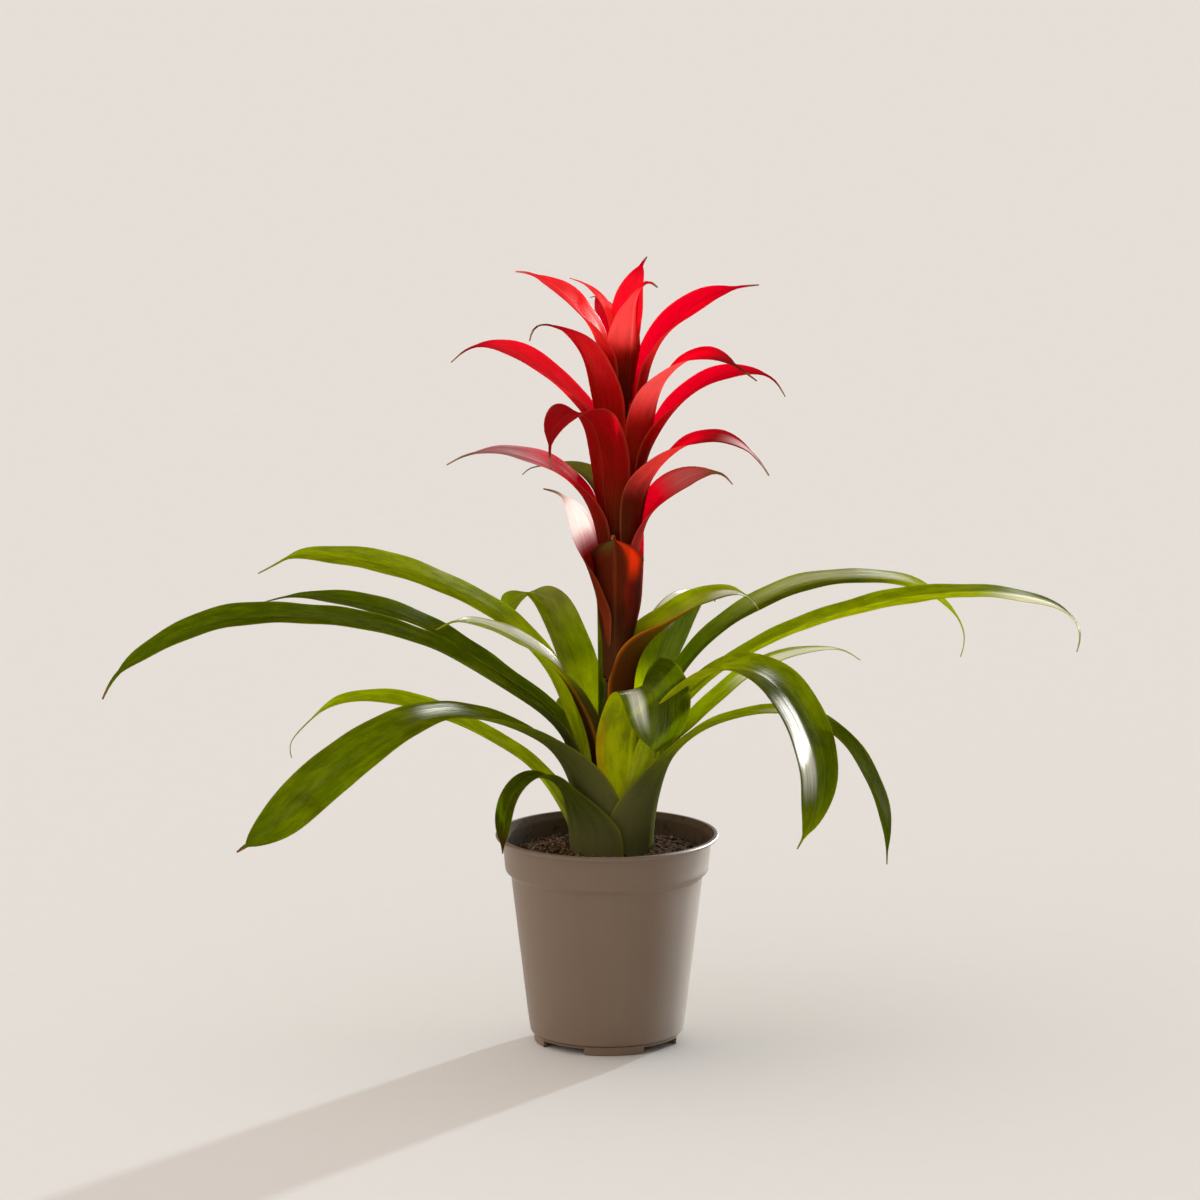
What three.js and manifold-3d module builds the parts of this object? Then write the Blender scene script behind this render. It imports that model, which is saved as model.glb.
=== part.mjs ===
// Potted guzmania: a bromeliad with strap leaves and a spike of red bracts, in its nursery pot.
// Millimetres, +Z up. The origin is the middle of the underside of the pot, where it rests,
// and -Y is the side that faces the viewer.
import * as THREE from "three";
import { mergeVertices } from "three/addons/utils/BufferGeometryUtils.js";
import Module from "manifold-3d";

const wasm = await Module();
wasm.setup();

// Driving dimensions
const RIM_RADIUS = 60; // a 12 cm nursery pot, across its lip
const POT_HEIGHT = 114;
const POT_SIDES = 40;
const GAP = 0.3; // between pieces that touch
const SOIL_LEVEL = 104;
const CROWN_FLOOR = 102.5; // the leaves stand in a shallow ring in the soil
const CROWN_RADIUS = 27;
const BASE = CROWN_FLOOR + GAP;
const LEAN = 0.017; // sideways per mm of height: the plant leans a little to the right
const AXIS_X = 4; // of the plant at soil level, the pot's own axis being x = 0
const LEAF_THICK = 1.15; // at the base of a leaf
const TIP_THICK = 0.8;
const MARGIN_THIN = 0.2; // share of the thickness lost at the margins
const DRAIN_SLOTS = [51, 141, 231, 321]; // degrees round the foot ring
const DRAIN_WIDTH = 42; // degrees
const DRAIN_HEIGHT = 3.6;

const finish = (name, color, roughness) =>
  new THREE.MeshStandardMaterial({ name, color, roughness, metalness: 0 });

const lerp = THREE.MathUtils.lerp;
const rad = THREE.MathUtils.degToRad;
const axisX = (z) => AXIS_X + LEAN * (z - SOIL_LEVEL);

// Reads a curve given as [[t, value], ...] at t.
function along(table, t) {
  const next = table.findIndex(([at]) => at >= t);
  if (next <= 0) return table[next === 0 ? 0 : table.length - 1][1];
  const [t0, v0] = table[next - 1];
  const [t1, v1] = table[next];
  return lerp(v0, v1, (t - t0) / (t1 - t0));
}

// One leaf or bract. Its midrib is a curve in the upright plane at the angle turn, given as
// [out from the plant's axis, height]. Across, it is an arc: at the base, and for the share
// hold of its length, the arc wraps the axis by plus and minus wrap degrees, and from the
// neck on it is a shallow channel.
class BladeGeometry extends THREE.BufferGeometry {
  constructor(blade, grow = 0) {
    super();
    const { turn, path, wrap, width, neck, cup, taper, fall, tail, twist, tip = 2.4 } = blade;
    const stations = blade.stations ?? 14;
    const hold = blade.hold ?? 0;
    const across = 4;
    const outward = new THREE.Vector3(Math.cos(rad(turn)), Math.sin(rad(turn)), 0);
    const sideways = new THREE.Vector3(-outward.y, outward.x, 0);
    const curve = new THREE.CatmullRomCurve3(
      path.map(([out, up]) => outward.clone().multiplyScalar(out).add(new THREE.Vector3(axisX(up), 0, up))),
      false,
      "centripetal",
    );
    const sheath = 2 * path[0][0] * rad(wrap);
    const arcs = [[0, wrap], [hold, wrap], [neck, cup], [1 - tail, 16], [1, 16]];
    const upper = [];
    const lower = [];
    for (let i = 0; i < stations; i += 1) {
      const t = i / (stations - 1);
      const middle = curve.getPointAt(t);
      const ahead = curve.getTangentAt(t);
      const side = sideways.clone().addScaledVector(ahead, -ahead.dot(sideways)).normalize();
      const face = ahead.clone().cross(side);
      const roll = rad(along(twist, t));
      const s = side.clone().multiplyScalar(Math.cos(roll)).addScaledVector(face, Math.sin(roll));
      const n = face.clone().multiplyScalar(Math.cos(roll)).addScaledVector(side, -Math.sin(roll));
      if (i === 0) middle.addScaledVector(ahead, -grow);
      if (i === stations - 1) middle.addScaledVector(ahead, grow);

      const blend = lerp(sheath, width, THREE.MathUtils.smoothstep(t, hold, neck));
      const reach = THREE.MathUtils.clamp((t - taper) / (1 - tail - taper), 0, 1);
      const tailWide = tip * (1 - 0.6 * THREE.MathUtils.clamp((t + tail - 1) / tail, 0, 1));
      const half = Math.max(blend * (1 - reach ** fall) ** 0.8, tailWide) / 2;
      const arc = rad(along(arcs, t));
      const radius = half / arc;
      const centre = middle.clone().addScaledVector(n, radius);
      const thick = lerp(LEAF_THICK, TIP_THICK, t);
      for (let j = 0; j <= across; j += 1) {
        const u = (2 * j) / across - 1;
        const angle = (arc + grow / radius) * u;
        const away = s.clone().multiplyScalar(Math.sin(angle)).addScaledVector(n, -Math.cos(angle));
        const skin = (thick * (1 - MARGIN_THIN * u * u)) / 2 + grow;
        upper.push(centre.clone().addScaledVector(away, radius - skin));
        lower.push(centre.clone().addScaledVector(away, radius + skin));
      }
    }
    const index = [];
    const row = across + 1;
    const under = upper.length;
    const quad = (a, b, c, d) => index.push(a, b, c, a, c, d);
    for (let i = 0; i + 1 < stations; i += 1) {
      for (let j = 0; j < across; j += 1) {
        const a = i * row + j;
        quad(a, a + row, a + row + 1, a + 1);
        index.push(under + a, under + a + row + 1, under + a + row);
        index.push(under + a, under + a + 1, under + a + row + 1);
      }
      const near = i * row;
      const far = near + across;
      quad(near, under + near, under + near + row, near + row);
      quad(far, far + row, under + far + row, under + far);
    }
    const last = (stations - 1) * row;
    for (let j = 0; j < across; j += 1) {
      quad(j, j + 1, under + j + 1, under + j);
      quad(last + j, under + last + j, under + last + j + 1, last + j + 1);
    }
    const points = [...upper, ...lower].flatMap((p) => p.toArray());
    this.setAttribute("position", new THREE.Float32BufferAttribute(points, 3));
    this.setIndex(index);
  }
}

function solid(geometry) {
  let bare = new THREE.BufferGeometry().copy(geometry);
  bare.deleteAttribute("normal");
  bare.deleteAttribute("uv");
  bare = mergeVertices(bare, 1e-4);
  return new wasm.Manifold(
    new wasm.Mesh({
      numProp: 3,
      vertProperties: new Float32Array(bare.attributes.position.array),
      triVerts: new Uint32Array(bare.index.array),
    }),
  );
}

function surface(manifold) {
  const { vertProperties, triVerts } = manifold.getMesh();
  const geometry = new THREE.BufferGeometry();
  geometry.setAttribute("position", new THREE.Float32BufferAttribute(vertProperties, 3));
  geometry.setIndex(Array.from(triVerts));
  geometry.computeVertexNormals();
  return geometry;
}

// The pot's outside, from the foot ring up to the lip, as [radius, height].
const POT_OUTSIDE = [
  [39.2, 0], [39.4, 5.4], [40.9, 5.6], [41.4, 6.6], [42.6, 15], [50.5, 81], [51.7, 91.4],
  [52.6, 92.4], [54.6, 94.2], [55, 96.5], [56.3, 111.4], [59.4, 111.8], [RIM_RADIUS, 112.5],
  [RIM_RADIUS, 113.5], [59.5, POT_HEIGHT],
];
const POT_INSIDE = [
  [57.7, POT_HEIGHT], [57.3, 113.4], [55, 110.8], [53.7, 96.6], [51.2, 93.4], [50.3, 91.4],
  [49.2, 81], [41.3, 15], [40, 5.2], [38.8, 4.2],
];
const POT_UNDERSIDE = [[0, 0], [15, 0], [16, 2.6], [36.6, 2.6], [37, 0]];
const POT_FLOOR = 4.2;

function sector(inner, outer, middle, width, height) {
  const shape = new THREE.Shape();
  shape.absarc(0, 0, outer, rad(middle - width / 2), rad(middle + width / 2), false);
  shape.absarc(0, 0, inner, rad(middle + width / 2), rad(middle - width / 2), true);
  shape.closePath();
  return new THREE.ExtrudeGeometry(shape, { depth: height, bevelEnabled: false, curveSegments: 5 });
}

function potGeometry() {
  const profile = [...POT_UNDERSIDE, ...POT_OUTSIDE, ...POT_INSIDE, [0, POT_FLOOR]];
  const lathe = new THREE.LatheGeometry(profile.map(([r, z]) => new THREE.Vector2(r, z)), POT_SIDES);
  lathe.rotateX(Math.PI / 2);
  let pot = solid(lathe);
  for (const middle of DRAIN_SLOTS) {
    const cutter = sector(35.5, 43, middle, DRAIN_WIDTH, DRAIN_HEIGHT + 1);
    cutter.translate(0, 0, -1);
    pot = pot.subtract(solid(cutter));
  }
  return surface(pot);
}

// The soil fills the pot; its top is lumpy and mounds a little towards the plant.
function soilGeometry() {
  const wall = POT_INSIDE.filter(([, z]) => z < 98).map(([r, z]) => [r - GAP - 0.1, z]);
  const lump = (x, y) =>
    0.9 * Math.sin(0.31 * x + 0.6) * Math.cos(0.27 * y) + 0.6 * Math.sin(0.57 * y - 0.33 * x + 1.2);
  const rings = [
    [CROWN_RADIUS, CROWN_FLOOR, 0], [CROWN_RADIUS + 1.2, SOIL_LEVEL + 0.4, 0.3],
    [34, SOIL_LEVEL + 0.6, 1], [40, SOIL_LEVEL, 1], [46, SOIL_LEVEL - 0.8, 1], [51, SOIL_LEVEL - 1.6, 0.7],
    [53.7, SOIL_LEVEL - 2.2, 0],
  ];
  const centre = (r) => AXIS_X * Math.max(0, 1 - Math.max(0, r - CROWN_RADIUS) / 26);
  const points = [];
  const sides = 36;
  const profile = [...rings, ...wall.map(([r, z]) => [r, z + GAP, 0])];
  for (const [r, z, rough] of profile) {
    for (let k = 0; k < sides; k += 1) {
      const angle = (2 * Math.PI * k) / sides;
      const x = r * Math.cos(angle) + (z > 99 ? centre(r) : 0);
      const y = r * Math.sin(angle);
      points.push(x, y, z + rough * lump(x, y));
    }
  }
  const index = [];
  const rows = profile.length;
  for (let i = 0; i + 1 < rows; i += 1) {
    for (let k = 0; k < sides; k += 1) {
      const a = i * sides + k;
      const b = i * sides + ((k + 1) % sides);
      index.push(a, a + sides, b + sides, a, b + sides, b);
    }
  }
  const top = points.length / 3;
  points.push(AXIS_X, 0, CROWN_FLOOR, 0, 0, profile[rows - 1][1]);
  for (let k = 0; k < sides; k += 1) {
    const after = (k + 1) % sides;
    index.push(top, k, after, top + 1, (rows - 1) * sides + after, (rows - 1) * sides + k);
  }
  const geometry = new THREE.BufferGeometry();
  geometry.setAttribute("position", new THREE.Float32BufferAttribute(points, 3));
  geometry.setIndex(index);
  return geometry;
}

// The short solid stem inside the rosette and the spike.
const STEM = [
  [0, BASE], [7.4, BASE], [7.4, 180], [6.3, 215], [5.3, 240], [5.2, 290], [4.2, 330],
  [3.1, 360], [2.5, 386], [0, 389],
];

class StemGeometry extends THREE.LatheGeometry {
  constructor(grow = 0) {
    super(STEM.map(([r, z]) => new THREE.Vector2(r > 0 ? r + grow : 0, z)), 20);
    this.rotateX(Math.PI / 2);
    const lean = new THREE.Matrix4().set(1, 0, LEAN, axisX(0), 0, 1, 0, 0, 0, 0, 1, 0, 0, 0, 0, 1);
    this.applyMatrix4(lean);
  }
}

// A blade's roll about its midrib: none over the sheath, then the three angles given.
const roll = (from, angles) => [
  [0, 0], [from, 0], [from / 2 + 0.4, angles[0]], [0.75, angles[1]], [1, angles[2]],
];

const leaf = (name, turn, path, form) => ({
  name, turn, path, neck: 0.25, cup: 42, taper: 0.6, fall: 2.6, tail: 0.06, ...form,
  twist: roll(form.from ?? 0.2, form.roll ?? [0, 0, 0]),
});

// From the innermost leaf outwards.
const LEAVES = [
  leaf("leaf_right_inner", 350,
    [[8.4, BASE], [8.5, 140], [8.7, 178], [9.2, 202], [14.5, 217], [29, 232], [46, 244], [61, 249],
      [71, 246], [76, 239]],
    { wrap: 116, width: 28, hold: 0.56, neck: 0.7, cup: 60, fall: 2.2, from: 0.5, roll: [14, 22, 25] }),
  leaf("leaf_left_inner", 205,
    [[10, BASE], [10.5, 130], [13, 155], [17, 172], [24, 188], [33, 203], [46, 216], [63, 227],
      [82, 236], [96, 239], [107, 235]],
    { wrap: 70, width: 25, hold: 0.25, neck: 0.5, taper: 0.58, fall: 2.4, from: 0.4,
      roll: [-12, -22, -10] }),
  leaf("leaf_front_inner", 305,
    [[10.2, BASE], [11, 130], [12.5, 155], [15, 178], [19, 194], [26, 201], [33, 198], [37, 188],
      [38, 175], [36, 162]],
    { wrap: 58, width: 39, hold: 0.1, neck: 0.42, cup: 66, taper: 0.74, fall: 2.4, tail: 0.03,
      from: 0.4, roll: [20, 28, 26] }),
  leaf("leaf_right_broad", 55,
    [[10.2, BASE], [11, 130], [16, 156], [25, 183], [36, 201], [48, 217], [60, 228], [72, 233],
      [84, 232], [92, 226]],
    { wrap: 55, width: 28, neck: 0.35, cup: 50, taper: 0.65, fall: 2.4, from: 0.4,
      roll: [10, 10, 10] }),
  leaf("leaf_back_left", 127,
    [[12.1, BASE], [13.5, 130], [18, 156], [26, 180], [37, 200], [46, 213], [55, 224], [65, 232],
      [77, 234], [89, 230], [98, 222], [94, 212]],
    { wrap: 55, width: 25, neck: 0.3, cup: 45, taper: 0.8, fall: 2.4, tail: 0.03, from: 0.4 }),
  leaf("leaf_right_high", 10,
    [[12.1, BASE], [13, 130], [17, 158], [24, 180], [34, 200], [52, 221], [75, 236], [99, 246],
      [123, 249], [148, 248], [164, 244], [179, 234], [187, 225], [191, 213], [188, 204]],
    { wrap: 55, width: 21, taper: 0.55, tail: 0.07, roll: [12, 16, 30] }),
  leaf("leaf_left_high", 165,
    [[14, BASE], [14.5, 130], [19, 156], [27, 178], [38, 202], [53, 219], [66, 229], [83, 238],
      [105, 247], [135, 255], [164, 258], [184, 257], [191, 252], [202, 246]],
    { wrap: 55, width: 22, taper: 0.65, fall: 3.2, roll: [-10, -22, -28] }),
  leaf("leaf_back_upright", 92,
    [[14, BASE], [15, 130], [20, 160], [29, 190], [41, 212], [56, 227], [76, 236], [98, 236],
      [122, 226], [144, 206], [158, 182]],
    { wrap: 36, width: 20, neck: 0.3, taper: 0.62 }),
  leaf("leaf_right_long", 354,
    [[14, BASE], [14.5, 130], [18, 152], [28, 174], [44, 194], [59, 207], [75, 217], [98, 229],
      [121, 237], [145, 244], [168, 248], [200, 250], [227, 246], [241, 241], [249, 229],
      [246, 219]],
    { wrap: 60, width: 22, neck: 0.2, taper: 0.55, roll: [12, 14, 25] }),
  leaf("leaf_left_behind", 172,
    [[15.9, BASE], [16, 125], [19, 145], [25, 166], [39, 182], [53, 192], [81, 211], [102, 224],
      [131, 234], [160, 239], [179, 239], [194, 235]],
    { wrap: 50, width: 21, neck: 0.22, taper: 0.65, fall: 3, tail: 0.05, roll: [-8, -12, -12] }),
  leaf("leaf_back_right", 80,
    [[15.9, BASE], [17, 125], [21, 145], [30, 164], [44, 177], [62, 183], [82, 182], [104, 172],
      [126, 152], [142, 128]],
    { wrap: 45, width: 23, taper: 0.7, tail: 0.04 }),
  leaf("leaf_right_arching", 332,
    [[15.9, BASE], [16, 125], [19.5, 145], [25.5, 166], [34, 185], [46, 200], [59, 209], [73, 212],
      [87.5, 209], [99.5, 201.5], [110, 187.5], [118, 170], [120.5, 152], [118, 134], [110, 117]],
    { wrap: 50, width: 33, taper: 0.74, tail: 0.03, roll: [8, 14, 14] }),
  leaf("leaf_left_long", 190,
    [[17.8, BASE], [18.5, 125], [21, 145], [28, 167], [40, 181], [54, 191], [80, 208], [102, 221],
      [137, 233], [166, 238], [194, 240], [222, 237], [247, 227], [264, 217], [273, 209],
      [278, 198]],
    { wrap: 50, width: 24, neck: 0.2, taper: 0.68, fall: 3.2, tail: 0.04, tip: 4,
      roll: [-12, -20, -20] }),
  leaf("leaf_right_short", 20,
    [[17.8, BASE], [18.5, 125], [22, 145], [30, 160], [42, 170], [53, 180], [67, 191], [79, 199],
      [97, 205], [118, 207], [131, 205], [140, 199]],
    { wrap: 50, width: 16, neck: 0.28, taper: 0.5, fall: 2.4, roll: [8, 10, 15] }),
  leaf("leaf_left_broad", 210,
    [[18.8, BASE], [20, 122], [24, 139], [31, 154], [43, 167], [64, 179], [87, 187], [108, 190],
      [128, 187], [150, 179], [180, 162], [206, 143], [230, 130]],
    { wrap: 78, width: 27, hold: 0.1, neck: 0.27, taper: 0.8, fall: 2.4, tail: 0.02,
      roll: [-10, -45, -45] }),
  leaf("leaf_right_low", 343,
    [[20.4, BASE], [21.2, 122], [24.5, 140], [30, 156], [38, 166], [50, 175], [67, 182], [86, 186],
      [105, 185], [122, 177], [135, 164], [145, 146], [151, 127], [152, 107]],
    { wrap: 86, width: 20, hold: 0.08, neck: 0.28, cup: 40, taper: 0.78, fall: 3, tail: 0.03,
      roll: [0, 5, 5] }),
  leaf("leaf_back_low", 102,
    [[19.7, BASE], [21, 122], [26, 140], [37, 156], [54, 167], [74, 171], [96, 166], [116, 152],
      [132, 131]],
    { wrap: 48, width: 24, taper: 0.7, tail: 0.04 }),
  leaf("leaf_left_low", 165,
    [[21.6, BASE], [24, 116], [31, 129], [39, 140], [49, 150], [66, 160], [85, 169], [115, 179],
      [136, 181], [158, 177], [168, 170], [178, 160], [184, 152], [182, 145]],
    { wrap: 48, width: 18, cup: 40, fall: 3, tail: 0.12, roll: [-8, -14, -10] }),
  leaf("leaf_left_rim", 217,
    [[23.5, BASE], [25, 118], [29, 132], [35, 142], [43, 149], [52, 152], [62, 150], [70, 143],
      [74, 131], [75, 113]],
    { wrap: 66, width: 16, hold: 0.1, neck: 0.4, cup: 40, taper: 0.7, fall: 2.8, tail: 0.03 }),
];

const bract = (name, turn, path, form) => ({
  name, turn, path, stations: 11, neck: 0.4, cup: 52, taper: 0.3, fall: 1.7, tail: 0.1, tip: 2.2, ...form,
  twist: roll(form.from ?? 0.35, form.roll ?? [0, 0, 0]),
});

// From the top of the spike downwards, the inner ones first.
const BRACTS = [
  bract("bract_20", 312,
    [[4.5, 350], [5, 362], [5.5, 374], [6.5, 390], [8, 404], [13, 413], [20, 417], [26, 415]],
    { wrap: 62, width: 28, taper: 0.5, roll: [15, 25, 25] }),
  bract("bract_19", 65,
    [[4.2, 364], [5.5, 380], [6.5, 394], [9, 406], [14, 414], [22, 421], [28, 424]],
    { wrap: 50, width: 21, taper: 0.4 }),
  bract("bract_18", 160,
    [[4.2, 360], [5, 374], [7, 388], [10, 398], [15, 406], [22, 412], [31, 415]],
    { wrap: 45, width: 17 }),
  bract("bract_17", 190,
    [[4.9, 340], [7.5, 358], [11.5, 374], [16.5, 388], [23.5, 399], [32, 409], [42, 416], [52, 421],
      [59, 422]],
    { wrap: 55, width: 30, roll: [-22, -38, -35] }),
  bract("bract_16", 5,
    [[5.2, 328], [9, 346], [12.5, 360], [14.5, 369], [18.5, 380], [26, 391], [35.5, 400], [47, 407],
      [61, 411], [72, 412]],
    { wrap: 60, width: 31, roll: [18, 32, 30] }),
  bract("bract_15", 108,
    [[5.4, 322], [9, 342], [13, 358], [18, 374], [25, 386], [34, 395], [46, 399], [58, 397]],
    { wrap: 50, width: 26 }),
  bract("bract_14", 220,
    [[5.7, 305], [9.5, 322], [13, 340], [16, 352], [20, 366], [26.5, 379], [35, 389], [46, 395],
      [57, 398], [63, 396], [65, 390]],
    { wrap: 60, width: 30, taper: 0.4 }),
  bract("bract_13", 176,
    [[6, 295], [9.5, 310], [13, 326], [19, 341], [27, 351], [37, 361], [48, 370.5], [60, 377],
      [73, 380], [84, 377], [92, 370]],
    { wrap: 58, width: 28, roll: [-14, -28, -24] }),
  bract("bract_12", 325,
    [[6, 292], [10, 307], [13, 321], [16.5, 337], [20.5, 352], [28, 365], [38, 374.5], [50, 380],
      [63, 380], [76, 375], [86, 370]],
    { wrap: 58, width: 30, taper: 0.35, roll: [12, 22, 18] }),
  bract("bract_11", 355,
    [[6.1, 282], [9, 295], [11.5, 308], [14, 321], [20, 334], [28, 346], [37.5, 356], [48, 363],
      [60, 367], [72, 367], [81, 363], [87, 354]],
    { wrap: 50, width: 28, roll: [14, 26, 22] }),
  bract("bract_10", 84,
    [[6.1, 282], [9, 296], [12, 312], [15, 328], [21, 343], [30, 354], [42, 361], [55, 363],
      [68, 358]],
    { wrap: 36, width: 27 }),
  bract("bract_09", 228,
    [[6.1, 265], [9.5, 283], [12.5, 298], [15.5, 318], [19.5, 334], [27, 345], [36, 349], [46, 348],
      [54, 343], [57, 334], [56, 321]],
    { wrap: 62, width: 32, taper: 0.6 }),
  bract("bract_08", 140,
    [[6.1, 250], [7.8, 268], [9.6, 285], [13, 298], [20, 305], [29, 309], [40, 311], [53, 309],
      [64, 306], [69, 302]],
    { wrap: 48, width: 24 }),
  bract("bract_07", 328,
    [[6.1, 245], [8.8, 268], [11.5, 288], [15, 304], [21.5, 314], [30, 323], [39.5, 330],
      [49.5, 334], [62, 336], [76, 333], [86, 326], [92, 319]],
    { wrap: 52, width: 29, roll: [12, 20, 16] }),
  bract("bract_06", 90,
    [[6.1, 240], [7.8, 254], [9.7, 270], [13, 286], [20, 299], [31, 309], [45, 315], [59, 315],
      [70, 309]],
    { wrap: 38, width: 26 }),
  bract("bract_05", 5,
    [[6.1, 235], [8.6, 256], [11, 274], [14.5, 287], [22, 297.5], [31, 305.5], [41, 310], [54, 310],
      [60, 304]],
    { wrap: 48, width: 31, roll: [20, 36, 30] }),
  bract("bract_04", 188,
    [[6.1, 232], [8.2, 252], [11.5, 274], [14.5, 287], [19.5, 298], [26, 306], [37.5, 315],
      [51, 321], [67, 325], [84, 323], [94, 318]],
    { wrap: 58, width: 28, roll: [-12, -22, -20] }),
  bract("bract_03", 78,
    [[7.5, 205], [8.5, 225], [10.5, 243], [15, 259], [23, 272], [34, 281], [46, 284], [57, 280]],
    { wrap: 42, width: 27 }),
  bract("bract_02", 190,
    [[7.4, 200], [8.4, 220], [11, 240], [16, 259], [21, 276], [26, 291], [33, 301], [42, 304]],
    { wrap: 42, width: 29, neck: 0.5, taper: 0.58, from: 0.3, roll: [-30, -50, -40] }),
  bract("bract_01", 260,
    [[7.4, 198], [8.4, 217], [10.2, 236], [12.6, 252], [14.6, 266], [17.5, 277], [21.5, 282],
      [25.5, 280]],
    { wrap: 48, width: 36, neck: 0.7, cup: 80, taper: 0.72 }),
];

const GREEN = finish("leaf", 0x5f8f22, 0.35);
const RED = finish("bract", 0xc21a1c, 0.4);

const plant = new THREE.Group();
const add = (name, geometry, material) => {
  const mesh = new THREE.Mesh(geometry, material);
  mesh.name = name;
  plant.add(mesh);
};

add("pot", potGeometry(), finish("pot", 0x76624e, 0.55));
add("soil", soilGeometry(), finish("soil", 0x3c2a1e, 0.95));
add("stem", surface(solid(new StemGeometry())), finish("stem", 0x5a2a1c, 0.6));

// Each blade is trimmed back where an inner one lies, so that the sheaths nest. What is given
// as within lies inside them all. Returns the room that each blade takes.
function addBlades(blades, material, within) {
  const inner = [...within];
  for (const blade of blades) {
    let body = solid(new BladeGeometry(blade));
    for (const shell of inner) {
      const cut = body.subtract(shell);
      body = cut.decompose().reduce((best, piece) => (piece.volume() > best.volume() ? piece : best));
    }
    inner.push(solid(new BladeGeometry(blade, GAP)));
    add(blade.name, surface(body), material.clone());
  }
  return inner.slice(within.length);
}

// The innermost leaf holds the foot of the spike.
const stemRoom = solid(new StemGeometry(GAP));
const [innermost] = addBlades(LEAVES, GREEN, [stemRoom]);
addBlades(BRACTS, RED, [stemRoom, innermost]);

export default plant;
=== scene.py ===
"""Potted guzmania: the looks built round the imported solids.

The tables are in millimetres, as in the part's source, with +Z up and the viewer at -Y. Every mesh is in metres.
The blades, the pot, the soil and the stem are each lofted again from the same sizes as their solids, with many more
faces, rounded margins, ribs, ripples and lumps, and then dressed with procedural finishes.
"""

import logging
import math
from collections.abc import Callable, Sequence
from dataclasses import dataclass, field
from enum import Enum

import bpy
import numpy as np
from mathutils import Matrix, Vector, noise

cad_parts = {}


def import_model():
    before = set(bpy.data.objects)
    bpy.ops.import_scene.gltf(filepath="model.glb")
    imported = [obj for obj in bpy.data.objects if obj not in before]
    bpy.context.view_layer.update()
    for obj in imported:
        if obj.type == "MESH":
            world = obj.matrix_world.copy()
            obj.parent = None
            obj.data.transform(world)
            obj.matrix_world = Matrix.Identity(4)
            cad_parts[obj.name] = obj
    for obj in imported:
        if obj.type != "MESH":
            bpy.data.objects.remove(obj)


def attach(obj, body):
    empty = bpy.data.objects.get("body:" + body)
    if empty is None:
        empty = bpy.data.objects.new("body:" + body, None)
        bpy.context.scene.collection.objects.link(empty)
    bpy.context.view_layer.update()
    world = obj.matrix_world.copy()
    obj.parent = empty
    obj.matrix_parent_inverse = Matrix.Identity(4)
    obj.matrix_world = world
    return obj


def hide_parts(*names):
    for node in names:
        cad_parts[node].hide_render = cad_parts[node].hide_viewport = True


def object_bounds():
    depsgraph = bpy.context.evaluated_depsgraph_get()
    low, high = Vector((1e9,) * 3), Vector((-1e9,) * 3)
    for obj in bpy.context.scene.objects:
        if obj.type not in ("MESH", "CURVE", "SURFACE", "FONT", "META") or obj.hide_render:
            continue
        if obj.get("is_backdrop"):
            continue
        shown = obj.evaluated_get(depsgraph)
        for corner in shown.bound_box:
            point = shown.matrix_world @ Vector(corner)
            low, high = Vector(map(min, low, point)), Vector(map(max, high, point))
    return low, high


LOG = logging.getLogger("guzmania")
MM = 0.001
SOIL_LEVEL = 104.0
CROWN_FLOOR = 102.5
GAP = 0.3
BASE = CROWN_FLOOR + GAP
LEAN = 0.017
AXIS_X = 4.0

Colour = tuple[float, float, float]
Table = Sequence[tuple[float, float]]


def axis_x(height: float | np.ndarray) -> float | np.ndarray:
    """Sideways place of the plant's leaning axis at a height, in millimetres."""
    return AXIS_X + LEAN * (height - SOIL_LEVEL)


def smoothstep(x: np.ndarray, low: float, high: float) -> np.ndarray:
    """Smooth rise from 0 at low to 1 at high."""
    t = np.clip((x - low) / (high - low), 0.0, 1.0)
    return t * t * (3.0 - 2.0 * t)


def along(table: Table, t: np.ndarray) -> np.ndarray:
    """Reads a curve given as (t, value) pairs at every t."""
    return np.interp(t, [pair[0] for pair in table], [pair[1] for pair in table])


def linked(name: str, mesh: bpy.types.Mesh) -> bpy.types.Object:
    """Puts a mesh into the scene as a smooth-shaded object.

    Args:
        name: the object's name.
        mesh: its mesh.

    Returns:
        The new object.
    """
    piece = bpy.data.objects.new(name, mesh)
    bpy.context.scene.collection.objects.link(piece)
    mesh.polygons.foreach_set("use_smooth", [True] * len(mesh.polygons))
    return piece


def stored(mesh: bpy.types.Mesh, name: str, values: np.ndarray) -> None:
    """Keeps one number per vertex in the mesh, where its finish reads it by name."""
    layer = mesh.attributes.new(name, "FLOAT", "POINT")
    layer.data.foreach_set("value", np.ascontiguousarray(values, dtype=np.float32).ravel())


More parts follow.
